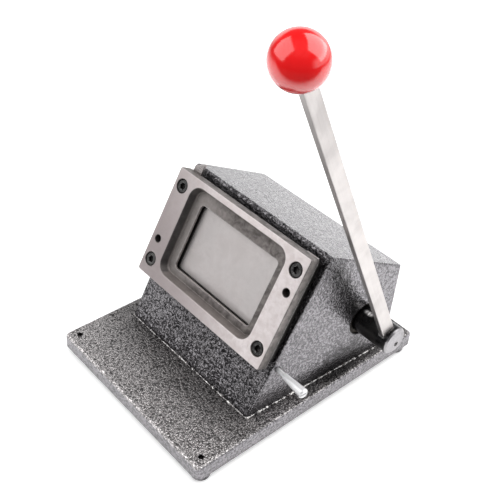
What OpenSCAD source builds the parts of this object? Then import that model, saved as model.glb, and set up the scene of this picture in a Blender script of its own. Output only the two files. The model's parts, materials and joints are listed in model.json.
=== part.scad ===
// Desk machine that punches wallet-size cards out of plastic sheet with a hand lever.
// Sizes are in millimetres. The origin is the middle of the base, on the plane that its pads stand on.
// +X points to the lever side, +Y to the back and +Z up.

/* [Base plate] */
// Border of the base plate beside the rear of the body
base_side = 7; // [4:0.5:20]
// Depth of the base plate, front to back
base_depth = 225; // [205:1:260]
// Thickness of the base plate
base_thickness = 12.5; // [11:0.5:18]
// Corner radius of the base plate
base_corner_r = 4; // [2:1:14]
// Height of the cast pad under each corner
pad_height = 5.5; // [2:0.5:8]
// Radius of each corner pad
pad_r = 7.25; // [5:0.25:9]
// Distance of each pad from the side edge of the base
pad_inset_x = 1.25; // [0:0.25:4]
// Distance of each pad from the front or rear edge of the base
pad_inset_y = 2.25; // [0:0.25:6]
// Radius of the bench holes
bench_hole_r = 2; // [1.5:0.25:3.5]

/* [Body casting] */
// How much narrower the body is than the die plate on each side, along the foot of its front face
body_tuck = 1; // [0:0.25:2]
// How much further out each side of the body is at its rear wall
body_flare = 8; // [4:0.5:14]
// Distance of the foot of the front face ahead of the origin
body_front_reach = 56; // [50:0.5:64]
// Distance of the rear wall's outside behind the axis of the lever shaft
body_rear_reach = 32.8; // [30:0.2:40]
// Slope of the front face against the base, in degrees
front_angle = 62; // [58:0.5:66]
// Distance of the die's centre up the front face from its foot
die_rise = 88; // [80:0.5:98]
// Distance from the die plate up to the ridge
ridge_margin = 4; // [2:0.5:12]
// Thickness of the front wall
front_wall = 12; // [11:0.5:14]
// Thickness of the side walls
side_wall = 9; // [7:0.5:9]
// Thickness of the sloping roof
roof_wall = 9; // [6:0.5:14]
// Thickness of the rear wall
rear_wall = 9; // [6:0.5:11]
// Radius along the ridge and the rear edges
edge_r = 3; // [1:0.5:6]
// Radius of the posts that take the body screws
post_r = 8; // [6:0.5:9]
// Thickness of a post over the end of its screw hole
post_cap = 3; // [1:0.5:5]
// Distance of the body screws in from the side faces
post_inset = 11.5; // [10:0.5:12.5]
// Distance of the front body screws behind the foot of the front face
post_front_inset = 26; // [22:1:32]
// Distance of the rear body screws ahead of the rear wall's outside
post_rear_inset = 19; // [15:1:24]

/* [Die set] */
// Width of the cut card
card_width = 85.6; // [78:0.1:96]
// Height of the cut card
card_height = 54; // [48:0.1:60]
// Corner radius of the cut card
card_corner_r = 3.18; // [2:0.02:6]
// Border of the die plate above and below the card opening
die_border = 17.5; // [15:0.5:22]
// How far the die plate stands out past the edge guides on each side
die_side = 2.5; // [1:0.5:6]
// Thickness of the die plate
die_thickness = 9; // [8:0.5:14]
// Corner radius of the die plate
die_corner_r = 2; // [0.5:0.5:5]
// Distance of the pocket's mouth from the card opening, left and right
pocket_side = 9.2; // [7:0.2:10.4]
// Distance of the pocket's mouth above the card opening
pocket_above = 12.2; // [8:0.2:14]
// Distance of the pocket's mouth below the card opening
pocket_below = 8.2; // [6:0.2:14]
// Corner radius of the pocket's mouth
pocket_corner_r = 10; // [6:0.5:14]
// How far the pocket draws in from its mouth to its floor, on each side
pocket_draw = 2.5; // [0.5:0.5:4]
// Depth of the cutting land behind the pocket's floor
land_depth = 2; // [1:0.5:3.5]
// Gap that the sheet slides through
slot_gap = 2.5; // [1.5:0.1:4]
// Distance of each edge guide from the card opening
slot_side = 14.7; // [13:0.1:18]
// Width of each edge guide
edge_guide_width = 11; // [10:0.5:14]
// Width of the finger on top of the left edge guide
finger_width = 9; // [6:0.5:10]
// Rise of that finger above the die plate at its inner edge
finger_rise = 8.9; // [5:0.1:14]
// How much lower the finger is at its outer edge
finger_slant = 4.4; // [0:0.1:4.8]
// How much shorter the guide plate is than the die plate, at its top and at its foot
guide_inset = 3.5; // [1:0.5:6]
// Thickness of the guide plate
guide_thickness = 5.5; // [4:0.5:8]
// Distance of the die screws from the inner edges of the edge guides
die_screw_offset = 5; // [4.5:0.25:6]
// Distance of the die screws above and below the card opening
die_screw_margin = 4.75; // [3:0.25:8]
// Depth of the die screws in the front wall
die_screw_bite = 9.5; // [7:0.25:9.5]
// Distance of the dowel pins from the inner edges of the edge guides
dowel_offset = 6.25; // [5:0.25:6.5]
// Distance of each dowel pin from the middle along the slope
dowel_rise = 14.5; // [12:0.5:18]
// Radius of the dowel pins
dowel_r = 3; // [2:0.25:3.25]
// Depth of the dowel pins in the front wall
dowel_bite = 8; // [5:0.5:9]
// Depth of the dowel pins under the face of the die plate
dowel_sink = 5; // [2:0.5:6]

/* [Ram] */
// Gap between the punch and the openings that it slides in
punch_gap = 0.08; // [0.04:0.01:0.1]
// Distance of the punch's face behind the slot at rest
punch_setback = 0.5; // [0.1:0.1:1]
// Gap round the punch in the front wall
window_gap = 1; // [0.5:0.1:1.4]
// Distance of the ram block behind the front wall at rest
ram_gap = 13; // [11:0.5:16]
// How far the ram block reaches past the axes of the guide rods
ram_end = 11; // [9:0.25:12]
// How much further the ram block reaches than the card, at its top and at its foot
ram_border = 3; // [1:0.5:5]
// Thickness of the ram block
ram_thickness = 20; // [18:0.5:23]
// Corner radius of the ram block
ram_corner_r = 6; // [2:0.5:10]
// Length of the boss behind the ram block
boss_length = 10; // [9:0.5:13]
// Border of that boss round the tappet plate
boss_border = 2; // [0.5:0.5:3]
// Width of the hardened tappet plate
tappet_width = 34; // [30:1:36]
// Height of the tappet plate
tappet_height = 38; // [37:1:42]
// Thickness of the tappet plate
tappet_thickness = 5; // [4:0.5:7]
// Spacing of the tappet screws along the slope
tappet_screw_spacing = 28; // [24:0.5:28]
// Radius of the tappet screws
tappet_screw_r = 2; // [1.5:0.25:2.25]
// Depth of the tappet screws in the boss
tappet_screw_bite = 7; // [5:0.5:8]
// Spacing of the punch screws, left to right
punch_screw_spacing_x = 60; // [54:1:68]
// Spacing of the punch screws along the slope
punch_screw_spacing_u = 34; // [30:1:38]
// Depth of the punch screws in the punch
punch_screw_bite = 11.5; // [9:0.5:15]
// Wall between the punch's window and the head of each guide rod
rod_web = 1.8; // [1:0.1:3]
// Radius of the guide rods
rod_r = 4; // [3.5:0.25:4.5]
// How far the head of each guide rod stands out round it
rod_head_lip = 1.5; // [1:0.25:2]
// Length of the head of each guide rod
rod_head_length = 4; // [3:0.5:6]
// Length of each guide rod behind its retaining ring
rod_tail = 4; // [2:0.5:7]
// Wall of the bushes in the ram block
ram_bush_wall = 2; // [1.5:0.25:3]
// How far the flange of each ram bush stands out round it
ram_bush_lip = 1.5; // [1:0.25:2]
// Thickness of the flange of each ram bush
ram_bush_lip_thickness = 2.5; // [1.5:0.5:4]
// Thickness of the retaining rings
ring_thickness = 1.2; // [0.8:0.1:2]
// Depth of the groove that each ring sits in
ring_groove = 0.6; // [0.3:0.1:1]
// How far each ring stands out from its rod
ring_height = 2.5; // [1.5:0.25:3]

/* [Return springs] */
// Radius of the spring wire
wire_r = 0.9; // [0.6:0.05:1.05]
// Gap between each guide rod and its spring
spring_gap = 1; // [0.6:0.1:1.2]
// Gap between each spring and the pocket that it sits in
pocket_gap = 0.6; // [0.3:0.1:1.2]
// Depth of the spring pockets in the ram block
spring_pocket_depth = 8; // [5:0.5:9]
// Turns in each spring
spring_turns = 6; // [5:1:7]
// Clear gap between the close turns at both ends of a spring
end_turn_gap = 0.5; // [0.45:0.05:0.8]

/* [Lever] */
// Radius of the lever shaft
shaft_r = 11; // [10:0.5:12.5]
// Chamfer on the ends of the shaft
shaft_chamfer = 1.5; // [0.5:0.25:2.5]
// Gap between the side of the body and the lever bar, at the shaft
lever_gap = 22.2; // [16:0.2:30]
// Thickness of the lever bar
bar_thickness = 5; // [4:0.5:8]
// Width of the lever bar at the shaft
bar_width = 11; // [9:0.5:14]
// Width of the lever bar at the knob
bar_top_width = 10.5; // [8:0.5:11]
// Depth of the lever bar's foot past the middle of the shaft
bar_sink = 6.5; // [6:0.25:7]
// Length of the shaft past the outer face of the lever bar
shaft_end = 4.2; // [3.6:0.2:12]
// Distance from the shaft's axis to the centre of the knob
lever_reach = 286; // [240:1:320]
// Forward lean of the lever at rest, from upright, in degrees
lean_angle = 26.5; // [20:0.5:30]
// Angle that the lever swings down through, in degrees
swing_angle = 61; // [52:1:64]
// Radius of the ball knob
knob_r = 16; // [14:0.5:20]
// Depth of the flat at the knob's foot
knob_flat = 2; // [1:0.25:4]
// Radius of the stud in the knob
stud_r = 2.5; // [2:0.25:4]
// Length of the stud in the knob
stud_length = 20; // [14:0.5:22]
// Radius of the lever screw
lever_screw_r = 2; // [1.5:0.25:2]
// Distance of the lever screw from the shaft's axis
lever_screw_drop = 4; // [2:0.25:4]

/* [Stop pin] */
// Distance of the stop pin behind the front face
stop_inset = 4.5; // [4:0.25:9]
// Gap that is left over the stop pin when the lever is down
stop_gap = 0.05; // [0.02:0.01:0.2]
// How far the pin's tip ends short of the outer face of the lever bar
stop_short = 3; // [0:0.25:3.5]
// Radius of the stop pin at its tip
stop_tip_r = 3.9; // [3:0.1:4.2]
// Radius of the stop pin beside its neck
stop_root_r = 2.4; // [2.2:0.1:3]
// Radius of the stop pin's neck and of its shank in the wall
stop_neck_r = 1.8; // [1.5:0.1:2.1]
// Length of the neck outside the wall
stop_neck = 7.5; // [3:0.5:10]
// Length of the shank inside the wall
stop_shank = 12; // [8:0.5:14]
// Width of the driver slot in the stop pin's tip
driver_slot = 1; // [0.6:0.1:1.4]

/* [Shaft fittings] */
// Rolling radius of the cam, which is the ram's travel for one radian of lever swing
cam_base_r = 6.7; // [6:0.1:7]
// Rise of the cam's lobe out of its hub where it meets the tappet plate at rest
lobe_rise = 1.5; // [1:0.25:3]
// Gap between moving pieces that meet at rest: the cam and the tappet, and the ram and its rings
rest_gap = 0.1; // [0.05:0.05:0.3]
// Width of the cam's lobe
cam_width = 20; // [14:1:24]
// Wall of the cam's hub
hub_wall = 5.5; // [4:0.25:6.5]
// Length of the hub beside the lobe
hub_length = 14; // [11:0.5:18]
// Radius of the pin through the hub
cam_pin_r = 2.5; // [2:0.25:3.5]
// Wall of the shaft bushes
shaft_bush_wall = 3; // [2:0.5:4]
// Length of the shaft bushes
shaft_bush_length = 17; // [14:0.5:18]
// How far the flange of each shaft bush stands out round it
shaft_bush_lip = 3.5; // [2:0.5:5]
// Thickness of the flange of each shaft bush
shaft_bush_lip_thickness = 2; // [1.5:0.5:3]
// Depth of the shaft bushes under the side faces
shaft_bush_sink = 2; // [1.5:0.25:3]
// Wall of the cast boss round each shaft bush
shaft_boss_wall = 6; // [4.5:0.5:8]
// Wall of the shaft collars
collar_wall = 6; // [4.5:0.5:8]
// Width of the shaft collars
collar_width = 10; // [8:0.5:12]
// Radius of the set screws in the collars
collar_screw_r = 2.5; // [1.5:0.25:3]
// End play of the shaft between its collars
end_play = 0.2; // [0.1:0.05:0.4]

/* [Screws and fits] */
// Radius of the socket-head screws
screw_r = 3; // [2.5:0.25:3.25]
// Radius of their heads
screw_head_r = 5; // [4.5:0.25:5.5]
// Height of their heads
screw_head_height = 6; // [5:0.25:6.5]
// Size of their hexagon sockets across the flats
screw_key = 5; // [4:0.25:6]
// Depth of their heads under the surface
screw_head_sink = 0.5; // [0.25:0.25:1]
// Depth of the body screws in their posts
body_screw_bite = 14; // [10:0.5:16]
// Gap round a screw in a clearance hole
clear_gap = 0.3; // [0.1:0.05:0.5]
// Gap round a screw head in its counterbore
head_gap = 0.5; // [0.2:0.05:0.6]
// Gap round a fixed pin, bush or thread in its hole
fit_gap = 0.05; // [0.02:0.01:0.08]
// Gap round a shaft or rod that turns or slides
run_gap = 0.05; // [0.02:0.01:0.1]
// Length of a tapped or blind hole past what it holds
hole_extra = 1; // [0.5:0.25:1.25]

/* [Hidden] */
$fn = 64;

// Overlap of a cutting form past the face that it opens
cut = 1;
// Length that passes through the whole machine
through = 400;

// Widths grow outwards from the card: slot, guides, die plate, body and base
slot_width = card_width + 2 * slot_side;
guide_width = slot_width + 2 * edge_guide_width;
die_width = guide_width + 2 * die_side;
body_front_width = die_width - 2 * body_tuck;
body_rear_width = body_front_width + 2 * body_flare;
base_width = body_rear_width + 2 * base_side;
pocket_width = card_width + 2 * pocket_side;

// Heights along the slope
pocket_height = card_height + pocket_above + pocket_below;
pocket_middle = (pocket_above - pocket_below) / 2;
die_height = card_height + 2 * die_border;
guide_height = die_height - 2 * guide_inset;
ridge_u = die_height / 2 + ridge_margin;

// Screws and their seats
tapped_r = screw_r + fit_gap;
clear_r = screw_r + clear_gap;
counterbore_r = screw_head_r + head_gap;
counterbore_depth = screw_head_height + screw_head_sink;
// Size of a hexagon socket against the radius of a small screw
socket_share = 0.6;
base_top = pad_height + base_thickness;
body_screw_seat = pad_height + counterbore_depth;
body_screw_end = base_top + body_screw_bite;
post_top = body_screw_end + hole_extra + post_cap;

// The front face has a frame of its own at the die's centre: X across, Y up the slope, Z out of the face.
// Points of the side view are pairs of y and z.
front_origin = [-body_front_reach + die_rise * cos(front_angle), base_top + die_rise * sin(front_angle)];
function front_point(u, n) = front_origin
    + [u * cos(front_angle) - n * sin(front_angle), u * sin(front_angle) + n * cos(front_angle)];
function depth_at(u, y) = (front_origin[0] + u * cos(front_angle) - y) / sin(front_angle);
function slope_at(n, z) = (z - front_origin[1] - n * cos(front_angle)) / sin(front_angle);

// Punch, guide rods and ram
punch_width = card_width - 2 * punch_gap;
punch_height = card_height - 2 * punch_gap;
punch_corner_r = card_corner_r - punch_gap;
rod_head_r = rod_r + rod_head_lip;
rod_spacing = punch_width + 2 * (window_gap + rod_web + rod_head_r);
ram_width = rod_spacing + 2 * ram_end;
ram_height = card_height + 2 * ram_border;
ram_bush_r = rod_r + run_gap + ram_bush_wall;

// Levels along the punch's axis, counted out from the front face
slot_back = guide_thickness;
die_back = slot_back + slot_gap;
die_front = die_back + die_thickness;
die_screw_seat = die_front - counterbore_depth;
dowel_front = die_front - dowel_sink;
pocket_floor = die_back + land_depth;
punch_face = slot_back - punch_setback;
ram_face = -front_wall - ram_gap;
ram_back = ram_face - ram_thickness;
punch_screw_seat = ram_back + counterbore_depth;
punch_screw_end = ram_face + punch_screw_bite;
boss_back = ram_back - boss_length;
tappet_face = boss_back - tappet_thickness;
tappet_screw_end = boss_back + tappet_screw_bite;
spring_seat = ram_face - spring_pocket_depth;
ring_face = ram_back - ram_bush_lip_thickness - rest_gap;
rod_end = ring_face - ring_thickness - rod_tail;
hub_r = shaft_r + hub_wall;
cam_reach = hub_r + lobe_rise;
shaft_level = tappet_face - cam_reach;

// Shaft, and the body's sides where it passes through them
shaft_place = front_point(0, shaft_level);
body_rear_y = shaft_place[0] + body_rear_reach;
flare_angle = atan(body_flare / (body_front_reach + body_rear_y));
function half_width(y) = body_front_width / 2 + (y + body_front_reach) * tan(flare_angle);
wall_x = half_width(shaft_place[0]);
bush_outer_x = wall_x - shaft_bush_sink;
bush_inner_x = bush_outer_x - shaft_bush_length;
collar_outer_x = bush_inner_x - shaft_bush_lip_thickness - end_play;
collar_r = shaft_r + collar_wall;
shaft_bush_r = shaft_r + run_gap + shaft_bush_wall;

// Lever
bar_inner_x = wall_x + lever_gap;
bar_outer_x = bar_inner_x + bar_thickness;
bar_middle_x = bar_inner_x + bar_thickness / 2;
shaft_left_x = -bush_outer_x;
shaft_right_x = bar_outer_x + shaft_end;
knob_foot = knob_r - knob_flat;
bar_length = lever_reach - knob_foot;

// The stop pin lies where the front edge of the lever bar lands, square to the side of the body
edge_angle = atan((bar_width - bar_top_width) / 2 / bar_length);
landing = lean_angle + swing_angle - edge_angle;
stop_side = bar_width / 2 * cos(edge_angle) + stop_tip_r + stop_gap;
stop_reach = (stop_side * sin(landing - front_angle) - stop_inset - shaft_level) / cos(landing - front_angle);
stop_place = shaft_place + [-stop_reach * sin(landing) - stop_side * cos(landing),
    stop_reach * cos(landing) - stop_side * sin(landing)];
stop_tip_x = bar_outer_x - stop_short;
stop_length = (stop_tip_x - half_width(stop_place[0])) * cos(flare_angle);

// Cam: the involute of a circle of cam_base_r, which drives a flat face at a constant rate
cam_start = cam_reach - rest_gap;
radian = 180 / PI;
cam_lead_in = (cam_start - sqrt(hub_r * hub_r - cam_base_r * cam_base_r)) / cam_base_r * radian;
overrun_angle = 4;
cam_steps = 28;
function cam_point(turn) = let (reach = cam_start + cam_base_r * turn / radian)
    [cam_base_r * cos(turn) + reach * sin(turn), reach * cos(turn) - cam_base_r * sin(turn)];
cam_nose = cam_point(swing_angle + overrun_angle);
cam_heel = atan2(cam_nose[1], cam_nose[0]) - acos(hub_r / norm(cam_nose));

// Places of what repeats, on the front face, on the base and in the body
rod_places = [[-rod_spacing / 2, 0], [rod_spacing / 2, 0]];
dowel_x = slot_width / 2 + dowel_offset;
dowel_places = [[-dowel_x, -dowel_rise], [dowel_x, dowel_rise]];
die_screw_x = slot_width / 2 + die_screw_offset;
die_screw_u = card_height / 2 + die_screw_margin;
die_screw_places = [for (x = [-1, 1], u = [-1, 1]) [x * die_screw_x, u * die_screw_u]];
punch_screw_places = [for (x = [-1, 1], u = [-1, 1])
    [x * punch_screw_spacing_x, u * punch_screw_spacing_u] / 2];
tappet_screw_places = [[0, -tappet_screw_spacing / 2], [0, tappet_screw_spacing / 2]];
bench_places = [for (x = [-1, 1], y = [-1, 1])
    [x * (base_width / 2 - pad_inset_x - pad_r), y * (base_depth / 2 - pad_inset_y - pad_r)]];
body_screw_rows = [post_front_inset - body_front_reach, body_rear_y - post_rear_inset];
body_screw_places = [for (x = [-1, 1], y = body_screw_rows) [x * (half_width(y) - post_inset), y]];

// Spring: close turns at both ends and open turns between them
spring_r = rod_r + spring_gap + wire_r;
spring_pocket_r = spring_r + wire_r + pocket_gap;
spring_front = -front_wall - wire_r;
spring_back = spring_seat + wire_r;
end_pitch = 2 * wire_r + end_turn_gap;
open_pitch = (spring_front - spring_back - 2 * end_pitch) / (spring_turns - 2);
rings_per_turn = 8;
wire_sides = 6;
spring_rings = spring_turns * rings_per_turn;
function spring_rise(turn) = end_pitch * min(turn, 1) + open_pitch * max(0, min(turn - 1, spring_turns - 2))
    + end_pitch * max(0, turn - spring_turns + 1);
function spring_centre(ring) = let (angle = 360 * ring / rings_per_turn)
    [spring_r * cos(angle), spring_r * sin(angle), spring_back + spring_rise(ring / rings_per_turn)];
function wire_point(ring, side) = let (
    angle = 360 * ring / rings_per_turn,
    around = 360 * side / wire_sides,
    out = spring_r + wire_r * cos(around))
    [out * cos(angle), out * sin(angle), spring_centre(ring)[2] + wire_r * sin(around)];
spring_gaps = [for (a = [0 : spring_rings], b = [a + rings_per_turn / 2 : spring_rings])
    norm(spring_centre(a) - spring_centre(b)) - 2 * wire_r];
echo(least_spring_gap = min(spring_gaps));

// Shared forms

module place_all(places) {
    for (place = places) translate(place) children();
}

module on_front(level = 0) {
    translate([0, front_origin[0], front_origin[1]]) rotate([front_angle, 0, 0])
        translate([0, 0, level]) children();
}

// Shaft's axis, turned with the front face
module on_shaft() {
    on_front(shaft_level) children();
}

// Shaft's axis, upright
module at_shaft() {
    translate([0, shaft_place[0], shaft_place[1]]) children();
}

// Shaft's axis, leaning with the lever
module on_lever() {
    at_shaft() rotate([lean_angle, 0, 0]) children();
}

module both_sides() {
    for (flip = [0, 1]) mirror([flip, 0, 0]) children();
}

// Round bar along Z, which also cuts round holes
module round_bar(r, from, to) {
    translate([0, 0, from]) cylinder(r = r, h = to - from);
}

module round_bar_x(r, from, to) {
    rotate([0, 90, 0]) round_bar(r, from, to);
}

module side_slab(from, to) {
    translate([from, 0, 0]) rotate([90, 0, 90]) linear_extrude(to - from) children();
}

module level_slab(from, to) {
    translate([0, 0, from]) linear_extrude(to - from) children();
}

module rounded_rect(width, height, r) {
    square([width - 2 * r, height], center = true);
    square([width, height - 2 * r], center = true);
    place_all([for (x = [-1, 1], y = [-1, 1]) [x * (width / 2 - r), y * (height / 2 - r)]]) circle(r);
}

// Convex outline whose corners are rounded by true arcs, or left sharp where the radius is zero
module soft_outline(points, radii) {
    count = len(points);
    rounds = [for (i = [0 : count - 1]) let (
        corner = points[i],
        back = points[(i + count - 1) % count] - corner,
        ahead = points[(i + 1) % count] - corner,
        a = back / norm(back),
        b = ahead / norm(ahead),
        half = acos(a * b) / 2,
        reach = radii[i] / tan(half))
        [corner + a * reach, corner + b * reach, corner + (a + b) / norm(a + b) * radii[i] / sin(half)]];
    polygon([for (i = [0 : count - 1]) each radii[i] > 0 ? [rounds[i][0], rounds[i][1]] : [points[i]]]);
    for (i = [0 : count - 1]) if (radii[i] > 0) translate(rounds[i][2]) circle(radii[i]);
}

// Pocket that narrows evenly from its mouth, at the given depth, down to its floor at zero
module tapered_pocket(width, height, r, draw, depth) {
    mouth_x = width / 2;
    mouth_u = height / 2;
    rotate([90, 0, 0]) linear_extrude(height - 2 * r, center = true)
        polygon([[-mouth_x, depth], [draw - mouth_x, 0], [mouth_x - draw, 0], [mouth_x, depth]]);
    rotate([90, 0, 90]) linear_extrude(width - 2 * r, center = true)
        polygon([[-mouth_u, depth], [draw - mouth_u, 0], [mouth_u - draw, 0], [mouth_u, depth]]);
    place_all([for (x = [-1, 1], u = [-1, 1]) [x * (mouth_x - r), u * (mouth_u - r)]])
        cylinder(r1 = r - draw, r2 = r, h = depth);
}

// Screw with its head above zero and its shank below
module socket_screw(length) {
    difference() {
        union() {
            round_bar(screw_head_r, 0, screw_head_height);
            round_bar(screw_r, -length, cut);
        }
        translate([0, 0, screw_head_height / 2])
            cylinder(r = screw_key / sqrt(3), h = screw_head_height, $fn = 6);
    }
}

// Headless screw from zero up, with its socket at the top
module set_screw(r, length) {
    difference() {
        round_bar(r, 0, length);
        translate([0, 0, length / 2]) cylinder(r = r * socket_share, h = length, $fn = 6);
    }
}

// Countersunk screw from its face at zero upwards, grown by a gap to make its hole
module countersunk(r, length, gap = 0) {
    round_bar(r + gap, 0, length);
    cylinder(r1 = 2 * r + gap, r2 = r + gap, h = r);
}

// Base and body

module base_plate() {
    color("dimgray") difference() {
        union() {
            level_slab(pad_height, base_top) rounded_rect(base_width, base_depth, base_corner_r);
            place_all(bench_places) round_bar(pad_r, 0, base_top - cut);
        }
        place_all(bench_places) round_bar(bench_hole_r, -cut, base_top + cut);
        place_all(body_screw_places) {
            round_bar(counterbore_r, pad_height - cut, body_screw_seat);
            round_bar(clear_r, pad_height, base_top + cut);
        }
    }
}

// Outside of the body: its side outline crossed with a plan that widens towards the rear
module body_wedge() {
    ridge = front_point(ridge_u, 0);
    eave = front_point(ridge_u, depth_at(ridge_u, body_rear_y));
    intersection() {
        side_slab(-through, through) soft_outline(
            [[-body_front_reach, base_top], [body_rear_y, base_top], eave, ridge], [0, 0, edge_r, edge_r]);
        level_slab(0, through) soft_outline([
            [-body_front_width / 2, -body_front_reach],
            [body_front_width / 2, -body_front_reach],
            [body_rear_width / 2, body_rear_y],
            [-body_rear_width / 2, body_rear_y]], [0, 0, edge_r, edge_r]);
    }
}

// Inside of the body, open at the foot, less the bosses and posts that stand in it
module body_cavity() {
    foot = base_top - cut;
    roof_u = ridge_u - roof_wall;
    rear_y = body_rear_y - rear_wall;
    front_x = body_front_width / 2 - side_wall;
    rear_x = body_rear_width / 2 - side_wall;
    difference() {
        intersection() {
            side_slab(-through, through) polygon([
                front_point(slope_at(-front_wall, foot), -front_wall),
                [rear_y, foot],
                front_point(roof_u, depth_at(roof_u, rear_y)),
                front_point(roof_u, -front_wall)]);
            level_slab(0, through) polygon([
                [-front_x, -body_front_reach],
                [front_x, -body_front_reach],
                [rear_x, body_rear_y],
                [-rear_x, body_rear_y]]);
        }
        both_sides() at_shaft() round_bar_x(shaft_bush_r + shaft_boss_wall, bush_inner_x, through);
        place_all(body_screw_places) round_bar(post_r, foot - cut, post_top);
    }
}

module body_casting() {
    color("gray") difference() {
        body_wedge();
        body_cavity();
        both_sides() at_shaft() round_bar_x(shaft_bush_r + fit_gap, bush_inner_x - cut, through);
        on_stop() round_bar_x(stop_neck_r + fit_gap, -stop_length - stop_shank - hole_extra, cut);
        place_all(body_screw_places) round_bar(tapped_r, base_top - cut, body_screw_end + hole_extra);
        on_front() {
            level_slab(-front_wall - cut, cut) rounded_rect(punch_width + 2 * window_gap,
                punch_height + 2 * window_gap, punch_corner_r + window_gap);
            place_all(die_screw_places) round_bar(tapped_r, -die_screw_bite - hole_extra, cut);
            place_all(dowel_places) round_bar(dowel_r + fit_gap, -dowel_bite - hole_extra, cut);
            place_all(rod_places) {
                round_bar(rod_head_r + fit_gap, -rod_head_length, cut);
                round_bar(rod_r + fit_gap, -front_wall - cut, cut);
            }
        }
    }
}

module body_screws() {
    color("black") place_all(body_screw_places) translate([0, 0, body_screw_seat]) rotate([180, 0, 0])
        socket_screw(body_screw_end - body_screw_seat);
}

// Die set, from the body's front face outwards

module guide_plate() {
    color("#3a3836") on_front() level_slab(0, slot_back) difference() {
        rounded_rect(guide_width, guide_height, die_corner_r);
        rounded_rect(card_width, card_height, card_corner_r);
        place_all(die_screw_places) circle(clear_r);
        place_all(dowel_places) circle(dowel_r + fit_gap);
    }
}

// Strip between the guide plate and the die plate. The points of its top are counted outwards from the slot
// and upwards from the top of the die plate.
module edge_guide(side, top) {
    inner_x = slot_width / 2;
    foot = -die_height / 2;
    color("silver") on_front() level_slab(slot_back, die_back) difference() {
        polygon([
            [side * inner_x, foot],
            each [for (point = top) [side * (inner_x + point[0]), die_height / 2 + point[1]]],
            [side * (inner_x + edge_guide_width), foot]]);
        place_all(die_screw_places) circle(clear_r);
        place_all(dowel_places) circle(dowel_r + fit_gap);
    }
}

module edge_guide_left() {
    edge_guide(-1, [
        [0, finger_rise],
        [finger_width, finger_rise - finger_slant],
        [finger_width, 0],
        [edge_guide_width, 0]]);
}

module edge_guide_right() {
    edge_guide(1, [[0, 0], [edge_guide_width, 0]]);
}

module die_plate() {
    color("#b5aaa6") on_front() difference() {
        level_slab(die_back, die_front) rounded_rect(die_width, die_height, die_corner_r);
        level_slab(die_back - cut, die_front) rounded_rect(card_width, card_height, card_corner_r);
        translate([0, pocket_middle, pocket_floor]) tapered_pocket(
            pocket_width, pocket_height, pocket_corner_r, pocket_draw, die_front - pocket_floor);
        place_all(die_screw_places) {
            round_bar(clear_r, die_back - cut, die_front);
            round_bar(counterbore_r, die_screw_seat, die_front + cut);
        }
        place_all(dowel_places) round_bar(dowel_r + fit_gap, die_back - cut, die_front + cut);
    }
}

module die_screws() {
    color("black") on_front(die_screw_seat) place_all(die_screw_places)
        socket_screw(die_screw_seat + die_screw_bite);
}

module dowel_pins() {
    color("#6e6a68") on_front() place_all(dowel_places) round_bar(dowel_r, -dowel_bite, dowel_front);
}

// Axis of the stop pin, with X along the pin and zero at its tip
module on_stop() {
    translate([stop_tip_x, stop_place[0], stop_place[1]]) rotate([0, 0, -flare_angle]) children();
}

module stop_pin() {
    neck_end = stop_neck - stop_length;
    shank_end = -stop_length - stop_shank;
    color("#d8d8dc") on_stop() rotate([0, 90, 0]) difference() {
        rotate_extrude() polygon([
            [0, shank_end],
            [stop_neck_r, shank_end],
            [stop_neck_r, neck_end],
            [stop_root_r, neck_end],
            [stop_tip_r, -driver_slot],
            [stop_tip_r - driver_slot, 0],
            [0, 0]]);
        cube([driver_slot, 4 * stop_tip_r, 2 * driver_slot], center = true);
    }
}

// Ram and what guides it

module guide_rods() {
    groove_r = rod_r - ring_groove;
    groove_back = ring_face - ring_thickness - fit_gap;
    groove_front = ring_face + fit_gap;
    color("silver") on_front() place_all(rod_places) rotate_extrude() polygon([
        [0, rod_end],
        [rod_r, rod_end],
        [rod_r, groove_back],
        [groove_r, groove_back],
        [groove_r, groove_front],
        [rod_r, groove_front],
        [rod_r, -rod_head_length],
        [rod_head_r, -rod_head_length],
        [rod_head_r, 0],
        [0, 0]]);
}

module rod_rings() {
    color("#333333") on_front() level_slab(ring_face - ring_thickness, ring_face) place_all(rod_places)
        difference() {
            circle(rod_r + ring_height);
            circle(rod_r - ring_groove + fit_gap);
        }
}

// Each spring is one wire swept along its turns, as rings of points joined by triangles
module return_springs() {
    last = wire_sides - 1;
    points = [for (ring = [0 : spring_rings], side = [0 : last]) wire_point(ring, side)];
    function at(ring, side) = ring * wire_sides + side % wire_sides;
    skin = [for (ring = [0 : spring_rings - 1], side = [0 : last]) each [
        [at(ring, side), at(ring, side + 1), at(ring + 1, side + 1)],
        [at(ring, side), at(ring + 1, side + 1), at(ring + 1, side)]]];
    caps = [for (side = [1 : last - 1]) each [
        [at(0, 0), at(0, side + 1), at(0, side)],
        [at(spring_rings, 0), at(spring_rings, side), at(spring_rings, side + 1)]]];
    color("silver") on_front() place_all(rod_places) polyhedron(points, concat(skin, caps));
}

module punch() {
    color("#9a9694") on_front() difference() {
        level_slab(ram_face, punch_face) rounded_rect(punch_width, punch_height, punch_corner_r);
        place_all(punch_screw_places) round_bar(tapped_r, ram_face - cut, punch_screw_end + hole_extra);
    }
}

module ram_block() {
    boss_width = tappet_width + 2 * boss_border;
    boss_height = tappet_height + 2 * boss_border;
    color("#77787c") on_front() difference() {
        union() {
            level_slab(ram_back, ram_face) rounded_rect(ram_width, ram_height, ram_corner_r);
            level_slab(boss_back, ram_face - cut) rounded_rect(boss_width, boss_height, die_corner_r);
        }
        place_all(rod_places) {
            round_bar(spring_pocket_r, spring_seat, ram_face + cut);
            round_bar(ram_bush_r + fit_gap, ram_back - cut, ram_face);
        }
        place_all(punch_screw_places) {
            round_bar(counterbore_r, ram_back - cut, punch_screw_seat);
            round_bar(clear_r, ram_back, ram_face + cut);
        }
        place_all(tappet_screw_places)
            round_bar(tappet_screw_r + fit_gap, boss_back - cut, tappet_screw_end + hole_extra);
    }
}

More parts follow.
